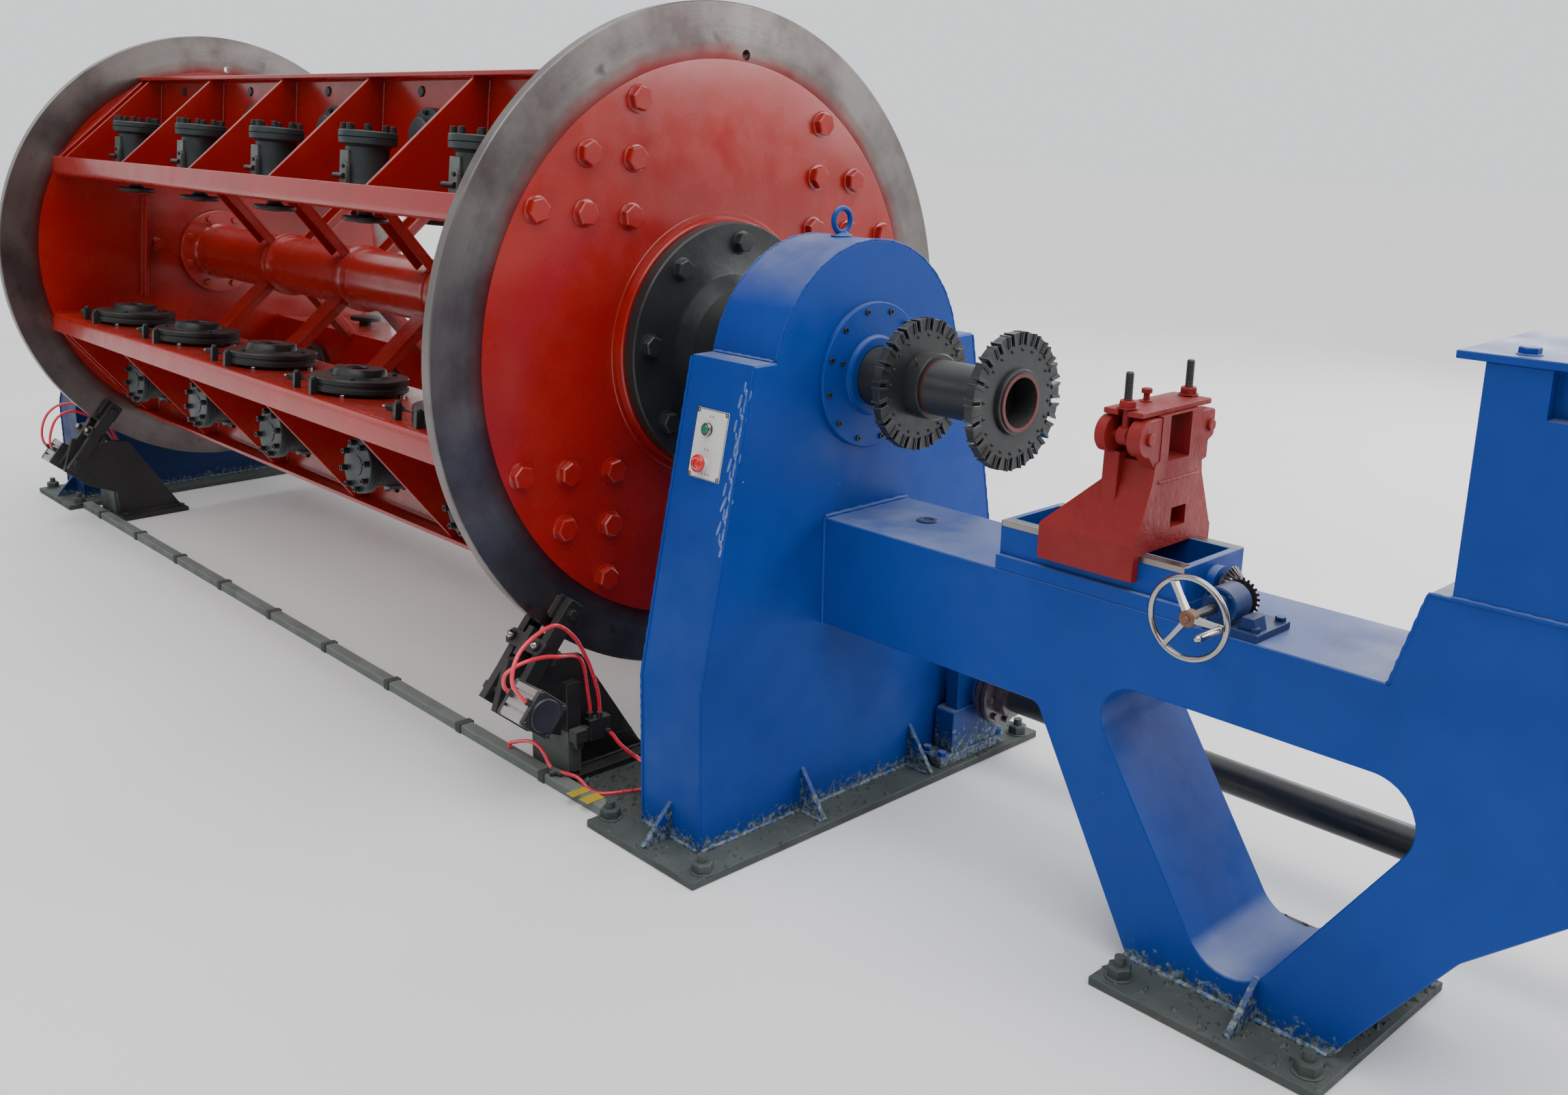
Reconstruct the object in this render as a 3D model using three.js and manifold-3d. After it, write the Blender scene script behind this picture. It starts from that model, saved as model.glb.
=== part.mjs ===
// Rigid-frame strander: one cage section, its two bearing pedestals, rim brakes and die stand.
// Millimetres. Shapes are drawn in machine coordinates: +X downstream along the cage axis, +Y to the far
// side, +Z up, zero on the axis at the front disc's outer face. At the end everything is moved so that the
// origin is on the floor under the middle of the front pedestal's base plate.
import * as THREE from 'three';
import { mergeVertices } from 'three/addons/utils/BufferGeometryUtils.js';
import { ConvexGeometry } from 'three/addons/geometries/ConvexGeometry.js';
import Module from 'manifold-3d';

const wasm = await Module();
wasm.setup();

// ---- driving dimensions ----
const AXIS_HEIGHT = 1128;            // cage axis above the floor
const PEDESTAL_MID = 465;            // middle of the front pedestal, downstream of the front disc
const CAGE_TURN = -5.8;              // degrees, how far the cage is turned at rest
const GAP = 0.3;                     // clearance left between neighbouring parts

const DISC_R = 900;
const DISC_T = 36;
const REAR_X = -3303;                // outer face of the rear disc that looks downstream
const INNER_F = -DISC_T - GAP;       // inside face of the front disc
const INNER_R = REAR_X + GAP;        // inside face of the rear disc
const BOLT_GRID = [330, 476, 622];   // disc bolt pattern, distance from the axis planes
const BOLT_AF = 55;
const BOLT_HEAD = 22;

const PLATE_IN = 278;                // inner face of every column plate from the axis planes
const PLATE_T = 14;
const PLATE_OUT = 697;               // folded outer edge of every column plate
const FOLD = 74;
const CRADLES = 5;
const PITCH = 616.5;
const FIRST_GUSSET = -130;
const CRADLE_R = 508;                // bobbin axis from the axis planes
const TUBE_R = 110;
const TUBE_BORE = 96;
const COLLAR_R = 121;

const FLOOR = -AXIS_HEIGHT;
const PLATE_TOP = FLOOR + 20;
const PED_X0 = 354;
const PED_X1 = 575.6;
const BEAM_TOP = -338;
const BEAM_BOTTOM = -611;
const BEAM_HALF = 150;
const SHAFT_Y = 450;                 // line shaft
const SHAFT_Z = -925;
const SHAFT_R = 41;
const HOLDER_Y = -20;                // middle of the die holder
const SCREW_Y = -29;                 // lead screw axis
const SCREW_Z = -283;
const WHEEL_X = 1633;                // handwheel shaft axis
const BRAKE_ANGLE = 230;             // where the rim brakes sit, degrees from +Y towards +Z
const HOSE_R = 5.5;

const COLOURS = {
  red: [0xc8321f, 0.38, 0.0],
  steelRed: [0xb52c1c, 0.42, 0.1],
  blue: [0x1450a0, 0.35, 0.0],
  darkBlue: [0x0d2c5c, 0.4, 0.0],
  black: [0x1c2022, 0.5, 0.3],
  grey: [0x6b7272, 0.5, 0.4],
  oxide: [0x9c2f22, 0.55, 0.0],
  chrome: [0xc9c9c4, 0.18, 1.0],
  panel: [0xd9dad6, 0.4, 0.2],
  green: [0x0f8a45, 0.3, 0.0],
  signal: [0xd3131f, 0.3, 0.0],
  floorGreen: [0x4b5650, 0.8, 0.1],
  alloy: [0xa9a6a0, 0.35, 0.8],
  hose: [0xf0344c, 0.3, 0.0],
};

// ---- solids ----
function solid(geometry) {
  let g = geometry.clone();
  g.deleteAttribute('normal');
  g.deleteAttribute('uv');
  g = mergeVertices(g, 1e-4);
  const mesh = new wasm.Mesh({
    numProp: 3,
    vertProperties: new Float32Array(g.attributes.position.array),
    triVerts: new Uint32Array(g.index.array),
  });
  return new wasm.Manifold(mesh);
}

function join(...parts) {
  return parts.flat().reduce((a, b) => a.add(b));
}

function cut(body, ...tools) {
  return tools.flat().reduce((a, b) => a.subtract(b), body);
}

function toGeometry(manifold) {
  const m = manifold.getMesh();
  const g = new THREE.BufferGeometry();
  g.setAttribute('position', new THREE.BufferAttribute(new Float32Array(m.vertProperties), 3));
  g.setIndex(new THREE.BufferAttribute(new Uint32Array(m.triVerts), 1));
  return g;
}

function box(x0, x1, y0, y1, z0, z1) {
  const g = new THREE.BoxGeometry(x1 - x0, y1 - y0, z1 - z0);
  g.translate((x0 + x1) / 2, (y0 + y1) / 2, (z0 + z1) / 2);
  return solid(g);
}

// Turned shapes: points are [position along the axis, radius], from axis to axis or closed on themselves.
function turned(points, segments) {
  let area = 0;
  points.forEach(([h, r], i) => {
    const [h2, r2] = points[(i + 1) % points.length];
    area += r * h2 - r2 * h;
  });
  const ordered = area > 0 ? points : [...points].reverse();
  return new THREE.LatheGeometry(ordered.map(([h, r]) => new THREE.Vector2(r, h)), segments);
}

function turnX(points, segments, y = 0, z = 0) {
  const g = turned(points, segments);
  g.rotateZ(-Math.PI / 2);
  g.translate(0, y, z);
  return solid(g);
}

function turnY(points, segments, x = 0, z = 0) {
  const g = turned(points, segments);
  g.translate(x, 0, z);
  return solid(g);
}

function turnZ(points, segments, x = 0, y = 0) {
  const g = turned(points, segments);
  g.rotateX(Math.PI / 2);
  g.translate(x, y, 0);
  return solid(g);
}

function rod(turn, a, b, r, segments, p, q) {
  return turn([[a, 0], [a, r], [b, r], [b, 0]], segments, p, q);
}

// Flat plates: outlines in (y, z) thickened along X, or in (x, z) thickened along Y.
function plateX(outline, x0, x1, holes = []) {
  const shape = new THREE.Shape(outline.map(([y, z]) => new THREE.Vector2(y, z)));
  shape.holes = holes.map((h) => new THREE.Path(h.map(([y, z]) => new THREE.Vector2(y, z))));
  const g = new THREE.ExtrudeGeometry(shape, { depth: x1 - x0, bevelEnabled: false });
  const m = new THREE.Matrix4().makeBasis(
    new THREE.Vector3(0, 1, 0), new THREE.Vector3(0, 0, 1), new THREE.Vector3(1, 0, 0));
  g.applyMatrix4(m);
  g.translate(x0, 0, 0);
  return solid(g);
}

function plateY(outline, y0, y1, holes = []) {
  const shape = new THREE.Shape(outline.map(([x, z]) => new THREE.Vector2(x, z)));
  shape.holes = holes.map((h) => new THREE.Path(h.map(([x, z]) => new THREE.Vector2(x, z))));
  const g = new THREE.ExtrudeGeometry(shape, { depth: y1 - y0, bevelEnabled: false });
  g.rotateX(Math.PI / 2);
  g.translate(0, y1, 0);
  return solid(g);
}

function arc(cx, cy, r, from, to, steps) {
  return Array.from({ length: steps + 1 }, (_, i) => {
    const a = THREE.MathUtils.degToRad(from + ((to - from) * i) / steps);
    return [cx + r * Math.cos(a), cy + r * Math.sin(a)];
  });
}

// A polygon whose corners are rounded: corners are [x, y, radius].
function rounded(corners, steps = 5) {
  const out = [];
  corners.forEach(([x, y, r], i) => {
    const p = new THREE.Vector2(x, y);
    const before = corners[(i + corners.length - 1) % corners.length];
    const after = corners[(i + 1) % corners.length];
    const u = new THREE.Vector2(before[0] - x, before[1] - y).normalize();
    const v = new THREE.Vector2(after[0] - x, after[1] - y).normalize();
    const half = Math.acos(u.dot(v)) / 2;
    const reach = r / Math.tan(half);
    const a = p.clone().addScaledVector(u, reach);
    const b = p.clone().addScaledVector(v, reach);
    const centre = p.clone().addScaledVector(u.clone().add(v).normalize(), r / Math.sin(half));
    for (let k = 0; k <= steps; k += 1) {
      const q = a.clone().lerp(b, k / steps).sub(centre).setLength(r).add(centre);
      out.push([q.x, q.y]);
    }
  });
  return out;
}

function hexBolt(axis, x, y, z, af, height) {
  const g = new THREE.CylinderGeometry(af / Math.sqrt(3), af / Math.sqrt(3), height, 6);
  g.translate(0, height / 2 - 1, 0);
  if (axis === 'x') g.rotateZ(-Math.PI / 2);
  if (axis === '-x') g.rotateZ(Math.PI / 2);
  if (axis === 'z') g.rotateX(Math.PI / 2);
  g.translate(x, y, z);
  return solid(g);
}

// ---- the assembly ----
const group = new THREE.Group();
group.name = 'rigid_strander';

function add(name, manifold, colour, turned = false) {
  const g = toGeometry(turned ? manifold.rotate([CAGE_TURN, 0, 0]) : manifold);
  g.translate(-PEDESTAL_MID, 0, AXIS_HEIGHT);
  const [hex, roughness, metalness] = COLOURS[colour];
  const mesh = new THREE.Mesh(g, new THREE.MeshStandardMaterial({ color: hex, roughness, metalness }));
  mesh.name = name;
  group.add(mesh);
}

const gussetX = (k) => FIRST_GUSSET - PITCH * k;
const cradleX = (k) => FIRST_GUSSET - PITCH * (k + 0.5);

// -- cage discs --
function discBolts(x, axis) {
  const at = [[0, 0], [1, 0], [2, 0], [0, 1], [1, 1], [0, 2]];
  const bolts = [];
  for (const sy of [-1, 1]) {
    for (const sz of [-1, 1]) {
      for (const [i, j] of at) {
        bolts.push(hexBolt(axis, x, sy * BOLT_GRID[i], sz * BOLT_GRID[j], BOLT_AF, BOLT_HEAD));
      }
    }
  }
  return bolts;
}

const frontDisc = cut(
  join(
    turnX([[-DISC_T, 90], [-DISC_T, DISC_R], [0, DISC_R], [0, 345], [22, 345], [22, 90], [-DISC_T, 90]], 48),
    discBolts(0, 'x')),
  rod(turnX, -60, 30, 14, 10, 23, 772));
add('front_disc', frontDisc, 'red', true);

const rearDisc = cut(
  join(
    turnX([
      [REAR_X, 90], [REAR_X, DISC_R], [REAR_X - DISC_T, DISC_R], [REAR_X - DISC_T, 345],
      [REAR_X - DISC_T - 22, 345], [REAR_X - DISC_T - 22, 90], [REAR_X, 90]], 48),
    box(REAR_X - 1, REAR_X + 38, -336, -318, -200, 218)),
  rod(turnX, REAR_X - 70, REAR_X + 60, 14, 10, 23, 772));
add('rear_disc', rearDisc, 'red', true);

// -- centre tube with its collars --
const tubeOutline = [[INNER_R, TUBE_BORE], [INNER_R, 175], [INNER_R + 22, 175], [INNER_R + 22, TUBE_R]];
for (let k = CRADLES - 1; k >= 1; k -= 1) {
  const x = gussetX(k);
  tubeOutline.push([x - 22, TUBE_R], [x - 22, COLLAR_R], [x + 22, COLLAR_R], [x + 22, TUBE_R]);
}
tubeOutline.push([INNER_F - 22, TUBE_R], [INNER_F - 22, 175], [INNER_F, 175], [INNER_F, TUBE_BORE]);
tubeOutline.push([INNER_R, TUBE_BORE]);
add('centre_tube', turnX(tubeOutline, 14), 'steelRed', true);

// -- corner columns, drawn for the near upper corner and turned by quarters --
function profile(points) {
  return points.map(([a, b]) => [-a, b]).reverse();
}

function column(quarter) {
  const o = PLATE_OUT;
  const p = PLATE_IN;
  const t = PLATE_T;
  const angle = profile([
    [p, p], [o, p], [o, p + FOLD], [o - t, p + FOLD], [o - t, p + t], [p + t, p + t],
    [p + t, o - t], [p + FOLD, o - t], [p + FOLD, o], [p, o]]);
  const web = profile([
    [p + t - 1, p + t - 1], [o - t + 1, p + t - 1], [o - t + 1, p + FOLD - 8],
    [p + FOLD - 8, o - t + 1], [p + t - 1, o - t + 1]]);
  const parts = [plateX(angle, INNER_R, INNER_F)];
  for (let k = 0; k <= CRADLES; k += 1) {
    parts.push(plateX(web, gussetX(k) - 6, gussetX(k) + 6));
  }
  parts.push(plateX(web, INNER_R, INNER_R + 24), plateX(web, INNER_F - 24, INNER_F));
  for (let k = 1; k < CRADLES; k += 1) {
    const g = new THREE.BoxGeometry(96, 278, 36);
    g.translate(0, COLLAR_R + GAP + 139, 0);
    g.rotateX(THREE.MathUtils.degToRad(135));
    g.translate(gussetX(k) - 36, 0, 0);
    parts.push(solid(g));
  }
  const holes = [];
  const bored = quarter === 0;
  const sides = quarter < 2 ? 10 : 6;
  for (let k = 0; k < CRADLES; k += 1) {
    const x = cradleX(k);
    // pneumatic cylinder of this quarter's bay, on the outside of the horizontal plate
    parts.push(turnZ([[p + t - 1, 0], [p + t - 1, 66], [468, 66], [468, 87], [506, 87], [506, 0]],
      bored ? 12 : 6, x, -CRADLE_R));
    if (bored) {
      holes.push(rod(turnZ, p - 5, 486, 27, 12, x, -CRADLE_R));
    } else {
      parts.push(turnZ([[236, 0], [236, 68], [256, 68], [256, 26], [p + 1, 26], [p + 1, 0]], sides, x, -CRADLE_R));
    }
    // spindle housing outside the vertical plate, and the spindle with its brake disc inside
    parts.push(turnY([[-345, 0], [-345, 56], [-314, 56], [-314, 88], [-p - t + 1, 88], [-p - t + 1, 0]],
      sides, x, CRADLE_R));
    if (quarter === 1) {
      parts.push(rod(turnY, -p - 1, -205, 24, 12, x, CRADLE_R));
    } else {
      parts.push(turnY([[-p - 1, 0], [-p - 1, 40], [-268, 40], [-268, 150], [-226, 150], [-226, 0]],
        sides + 2, x, CRADLE_R));
    }
  }
  return cut(join(parts), holes).rotate([90 * quarter, 0, 0]);
}

['column_near_upper', 'column_near_lower', 'column_far_lower', 'column_far_upper'].forEach((name, q) => {
  add(name, column(q), 'red', true);
});

// -- the near bay's own brake discs and pintles --
for (let k = 0; k < CRADLES; k += 1) {
  const disc = turnY([[-268, 24.8], [-268, 150], [-226, 150], [-226, 84], [-199, 60], [-199, 24.8],
    [-268, 24.8]], 16, cradleX(k), CRADLE_R).rotate([90, 0, 0]);
  add(`brake_disc_${k + 1}`, disc, 'black', true);
  const pintle = turnZ([[236, 0], [236, 68], [256, 68], [256, 26], [420, 26], [420, 0]], 12,
    cradleX(k), -CRADLE_R);
  add(`pintle_${k + 1}`, pintle, 'black', true);
}

// -- shafts --
add('front_shaft', turnX([
  [22 + GAP, 40], [22 + GAP, 336], [60, 336], [60, 196], [90, 160], [250, 150], [262, 72], [708, 72], [722, 64],
  [1031, 64], [1031, 57.5], [960, 57.5], [960, 40], [22 + GAP, 40]], 20), 'black', true);
const rx = REAR_X - DISC_T - 22 - GAP;
add('rear_shaft', turnX([
  [rx, 0], [rx, 336], [rx - 38, 336], [rx - 38, 190], [rx - 66, 160], [rx - 270, 130], [rx - 280, 72],
  [rx - 600, 72], [rx - 600, 0]], 20), 'black', true);

// -- lay plates: slotted discs with a boss --
function layPlate(x0, x1, bossTo, bossR) {
  const slots = 20;
  const bore = (64 + GAP) / Math.cos(Math.PI / 20);
  const outline = [];
  for (let i = 0; i < slots; i += 1) {
    const a = (360 / slots) * i;
    outline.push(...arc(0, 0, 131, a - 1.9, a + 1.9, 1));
    outline.push(...arc(0, 0, 157, a + 1.8, a + 360 / slots - 1.8, 1));
  }
  const plate = plateX(outline, x0, x1, [arc(0, 0, bore, 0, 342, 19)]);
  const boss = turnX([[x1 - 1, bore], [x1 - 1, bossR], [bossTo, bossR], [bossTo, bore], [x1 - 1, bore]], 20);
  return join(plate, boss);
}
add('lay_plate_1', layPlate(725, 747, 792, 79), 'black', true);
add('lay_plate_2', layPlate(997, 1019, 1029, 76), 'black', true);

// -- front pedestal: welded housing on a base plate --
function housingOutline(inset, bottom) {
  const r = 328 - inset;
  const shoulder = 64 - inset;
  const start = THREE.MathUtils.radToDeg(Math.asin(shoulder / r));
  return [
    [551 - inset, bottom], [551 - inset, -706], [390 - inset, shoulder],
    ...arc(0, 0, r, start, 180 - start, 12),
    [-390 + inset, shoulder], [-551 + inset, -706], [-551 + inset, bottom],
  ];
}

function pedestal(x0, x1, sign) {
  const mid = (x0 + x1) / 2;
  const body = plateX(housingOutline(0, FLOOR + 1), x0, x1);
  const hollow = plateX(housingOutline(16, PLATE_TOP), x0 + 16, x1 - 16);
  const base = box(mid - 206, mid + 206, -655, 655, FLOOR, PLATE_TOP);
  const rib = [[545, -1018], [551, -1018], [636, -1107], [636, -1109], [545, -1109]];
  const ribs = [-1, 1].map((s) => plateX(
    rib.map(([y, z]) => [s * y, z]), mid - 7, mid + 7));
  const face = sign > 0 ? x1 : x0;
  const toe = face + sign * 82;
  for (const y of [-205, 205]) {
    ribs.push(plateY([[face - sign * 4, -992], [face, -992], [toe, -1107], [toe, -1109],
      [face - sign * 4, -1109]], y - 7, y + 7));
  }
  const bearing = rod(turnX, x0 + 2, x1 - 2, 150, 16, 0, 0);
  const bolts = [];
  for (const y of [-600, 600]) {
    for (const dx of [-178, 178]) {
      bolts.push(hexBolt('z', mid + dx, y, PLATE_TOP, 46, 30));
    }
  }
  const shaftHole = rod(turnX, x0 - 5, x1 + 5, SHAFT_R + 12, 12, SHAFT_Y, SHAFT_Z);
  return cut(join(cut(join(body, base), hollow), ribs, bearing, bolts),
    rod(turnX, x0 - 5, x1 + 5, 74, 16), shaftHole);
}

function eyeBolt(x, y, z) {
  const ring = new THREE.TorusGeometry(28, 7, 5, 9);
  ring.rotateY(Math.PI / 2);
  ring.translate(x, y, z + 40);
  return join(solid(ring), rod(turnZ, z - 6, z + 14, 16, 8, x, y));
}

add('front_pedestal', join(pedestal(PED_X0, PED_X1, 1), eyeBolt(PEDESTAL_MID, 0, 328)), 'blue');
add('rear_pedestal', join(
  pedestal(-3915, -3693, -1), eyeBolt(-3804, 0, 328),
  turnX([[-3929, 74], [-3929, 180], [-3914, 180], [-3914, 74], [-3929, 74]], 16)), 'darkBlue');
add('front_bearing_cover', turnX([
  [PED_X1 + GAP, 74], [PED_X1 + GAP, 180], [588, 180], [588, 96], [600, 92], [600, 74],
  [PED_X1 + GAP, 74]], 20), 'blue');

// -- control plate with its two buttons, on the near sloping side --
const sideFrom = new THREE.Vector2(-390, 64);
const sideTo = new THREE.Vector2(-551, -706);
const sideDown = sideTo.clone().sub(sideFrom).normalize();
const sideOut = new THREE.Vector2(sideDown.y, -sideDown.x);
const panelAt = sideFrom.clone().addScaledVector(sideDown, 197 / -sideDown.y);

// Places a shape drawn with +Z as outward normal and +Y up the slope at a spot on the sloping side.
function onSlope(shape, x, down) {
  const spot = panelAt.clone().addScaledVector(sideDown, down);
  const m = new THREE.Matrix4().makeBasis(
    new THREE.Vector3(-1, 0, 0),
    new THREE.Vector3(0, -sideDown.x, -sideDown.y),
    new THREE.Vector3(0, sideOut.x, sideOut.y));
  m.setPosition(x, spot.x, spot.y);
  return shape.transform(m.elements);
}
const START = [457, -35];
const STOP = [463, 46];
add('control_plate', join(
  onSlope(box(-56, 56, -83, 83, GAP, 2.3), 465.5, 0),
  onSlope(turnZ([[2, 11], [2, 15.5], [11, 15.5], [11, 11], [2, 11]], 16), ...START),
  onSlope(turnZ([[2, 10.6], [2, 14], [13, 14], [13, 10.6], [2, 10.6]], 16), ...STOP)), 'panel');
add('start_button', onSlope(rod(turnZ, 6.8, 15, 10.5, 16), ...START), 'green');
add('stop_button', onSlope(turnZ([
  [8.2, 0], [8.2, 10], [18, 10], [20, 21], [26, 21], [31, 13], [31, 0]], 20), ...STOP), 'signal');

// -- die stand: beam, V leg, foot plate and column in one weldment --
const stand = plateY([
  [PED_X1 + GAP, BEAM_TOP], [PED_X1 + GAP, BEAM_BOTTOM], [1231, BEAM_BOTTOM], [1501, PLATE_TOP - 1],
  [1946, PLATE_TOP - 1], [2150, -809], [2367, BEAM_BOTTOM], [2480, BEAM_BOTTOM], [2480, BEAM_TOP],
  [2436, BEAM_TOP], [2389, -158], [2350, -158], [2350, 248.7], [2052, 248.7], [2052, -158], [2014, -158],
  [1967, BEAM_TOP]], -BEAM_HALF, BEAM_HALF,
[rounded([[1332, -512, 75], [1725, -1130, 100], [2120, -512, 89]])]);
const foot = box(1490, 1985, -270, 270, FLOOR, PLATE_TOP);
const footRibs = [-1, 1].map((s) => plateX(
  [[s * 145, -1022], [s * 150, -1022], [s * 242, -1109], [s * 145, -1109]], 1783, 1797));
const footBolts = [];
for (const x of [1532, 1943]) {
  for (const y of [-222, 222]) footBolts.push(hexBolt('z', x, y, PLATE_TOP, 46, 30));
}
const hollows = [
  box(592, 1228, -136, 136, -597, -352),
  box(1200, 2464, -136, 136, -498, -352),
  box(2068, 2334, -136, 136, -360, 260),
];
add('die_stand', cut(join(stand, foot, footRibs, footBolts), hollows,
  box(2155, 2247, -170, -120, 166, 260)), 'blue');
add('column_cap', join(box(2008, 2392, -160, 160, 249, 263),
  hexBolt('z', 2105, -118, 263, 30, 12), hexBolt('z', 2295, -118, 263, 30, 12),
  hexBolt('z', 2105, 118, 263, 30, 12), hexBolt('z', 2295, 118, 263, 30, 12),
  rod(turnZ, 262, 300, 13, 10, 2200, -60), hexBolt('z', 2200, -60, 283, 40, 18)), 'darkBlue');

// -- slide frame on the beam --
const frameOuter = [[1100, -138], [1552, -138], [1552, 80], [1100, 80]];
const slideFrame = cut(
  join(
    box(frameOuter[0][0], frameOuter[1][0], -138, 80, BEAM_TOP + GAP, -230),
    box(1100, 1552, -150, 92, BEAM_TOP + GAP, -305),
    rod(turnX, 1550, 1570, 38, 16, SCREW_Y, SCREW_Z)),
  box(1116, 1536, -108, 50, -325, -200),
  rod(turnX, 1105, 1600, 15, 12, SCREW_Y, SCREW_Z));
add('slide_frame', slideFrame, 'blue');

// -- a bevel gear outline that tapers towards the apex --
function bevelGear(teeth, big, root, small, width) {
  const outline = [];
  for (let i = 0; i < teeth; i += 1) {
    const step = 360 / teeth;
    outline.push(...arc(0, 0, big, step * (i - 0.2), step * (i + 0.2), 1));
    outline.push(...arc(0, 0, root, step * (i + 0.3), step * (i + 0.7), 1));
  }
  const shape = new THREE.Shape(outline.map(([a, b]) => new THREE.Vector2(a, b)));
  const g = new THREE.ExtrudeGeometry(shape, { depth: width, bevelEnabled: false });
  const pos = g.attributes.position;
  for (let i = 0; i < pos.count; i += 1) {
    const k = 1 - ((1 - small / big) * pos.getZ(i)) / width;
    pos.setXY(i, pos.getX(i) * k, pos.getY(i) * k);
  }
  return g;
}

// -- lead screw with its gear, axis along X --
const screwGear = bevelGear(12, 43.5, 36, 24, 20);
screwGear.rotateY(Math.PI / 2);
screwGear.translate(1588, SCREW_Y, SCREW_Z);
add('lead_screw', join(
  solid(screwGear), rod(turnX, 1108, 1590, 14, 12, SCREW_Y, SCREW_Z),
  rod(turnX, 1572, 1590, 24, 12, SCREW_Y, SCREW_Z)), 'black');

// -- handwheel with its shaft and gear, axis along Y --
const WHEEL_Y = -258;
const rim = new THREE.TorusGeometry(79, 6, 6, 22);
rim.rotateX(Math.PI / 2);
rim.translate(WHEEL_X, WHEEL_Y, SCREW_Z);
const spokes = [-1, 118, 235].map((deg) => {
  const g = new THREE.BoxGeometry(72, 9, 15);
  g.translate(42, 0, 0);
  g.rotateY(THREE.MathUtils.degToRad(-deg));
  g.translate(WHEEL_X, WHEEL_Y, SCREW_Z);
  return solid(g);
});
const wheelGear = bevelGear(12, 43.5, 36, 24, 20);
wheelGear.rotateZ(Math.PI / 12);
wheelGear.rotateX(-Math.PI / 2);
wheelGear.translate(WHEEL_X, -74, SCREW_Z);
add('handwheel', join(
  solid(rim), spokes, rod(turnY, -274, -242, 17, 14, WHEEL_X, SCREW_Z),
  rod(turnY, -250, -70, 10, 12, WHEEL_X, SCREW_Z), rod(turnY, -82, -72, 22, 12, WHEEL_X, SCREW_Z),
  rod(turnY, -350, -258, 7, 10, WHEEL_X + 71, SCREW_Z), solid(wheelGear)), 'chrome');
add('gear_bracket', cut(
  join(
    box(1600, 1715, -148, -20, BEAM_TOP + GAP, -322),
    box(1618, 1648, -140, -92, -330, -283),
    box(1668, 1708, -140, -90, -325, -296),
    rod(turnY, -150, -88, 36, 16, WHEEL_X, SCREW_Z),
    rod(turnY, -168, -148, 24, 14, WHEEL_X, SCREW_Z)),
  rod(turnY, -180, -80, 10.4, 12, WHEEL_X, SCREW_Z),
  rod(turnY, -84.5, -30, 46, 16, WHEEL_X, SCREW_Z)), 'blue');

// -- die holder --
const HX0 = 1335;
const HX1 = 1445;
const tapered = new ConvexGeometry([
  [1215, -163, -210], [HX1, -163, -210], [HX1, 123, -210], [1215, 123, -210],
  [HX0, -112, -90], [HX1, -112, -90], [HX1, 72, -90], [HX0, 72, -90],
].map((p) => new THREE.Vector3(...p)));
const pinZ = 7;
const pinYs = [HOLDER_Y - 111, HOLDER_Y + 111];
const ears = [];
const earCuts = [];
pinYs.forEach((y, i) => {
  const inward = i === 0 ? 1 : -1;
  for (const [a, b] of [[1338, 1362], [1412, 1441]]) {
    if (i === 0) {
      ears.push(rod(turnX, a, b, 38, 14, y, pinZ));
      ears.push(box(a, b, y, y + 44, -70, 40));
    } else {
      ears.push(box(a, b, y - 44, y + 17, -16, 40));
      ears.push(box(a, b, y - 44, y - 2, -62, -16));
    }
  }
  ears.push(box(1338, 1372, Math.min(y, y + inward * 44), Math.max(y, y + inward * 44), -150, -30));
  ears.push(rod(turnX, 1340, 1452, 8, 10, y, pinZ));
});
const holder = cut(
  join(
    box(1215, HX1, -163, 123, -283, -209), solid(tapered), box(HX0, HX1, -95, 60, -92, 48), box(HX0, HX1, -107, 68, -92, -44), ears,
    box(1300, 1360, SCREW_Y - 24, SCREW_Y + 24, -308, -200)),
  box(1205, 1299.5, -138.4, 80.4, -300, -229.6), box(1360.5, 1460, -138.4, 80.4, -300, -229.6),
  box(1290, 1370, -138.4, SCREW_Y - 24, -300, -229.6), box(1290, 1370, SCREW_Y + 24, 80.4, -300, -229.6),
  box(1320, 1460, -60, 18, -45, 60), box(1385, 1460, -42, 10, -191, -150),
  rod(turnX, 1290, 1370, 15, 12, SCREW_Y, SCREW_Z));
add('die_holder', holder, 'oxide');

const clampPlate = cut(
  box(1342, 1433, -146.5, 106.5, 48.3, 60),
  box(1376, 1398, -160, pinYs[0] + 12, 40, 70), box(1376, 1398, pinYs[1] - 12, 120, 40, 70));
add('clamp_plate', join(clampPlate, rod(turnZ, 60, 80, 6, 10, 1366, -32),
  box(1355, 1377, -43, -21, 78, 87)), 'oxide');

pinYs.forEach((y, i) => {
  const eye = cut(
    join(rod(turnX, 1375, 1399, 19, 14, y, pinZ), rod(turnZ, pinZ + 12, 136, 9, 10, 1387, y),
      hexBolt('z', 1387, y, 63.6, 32, 16)),
    rod(turnX, 1360, 1410, 8.6, 10, y, pinZ));
  add(i === 0 ? 'swing_bolt_near' : 'swing_bolt_far', eye, 'oxide');
});

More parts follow.
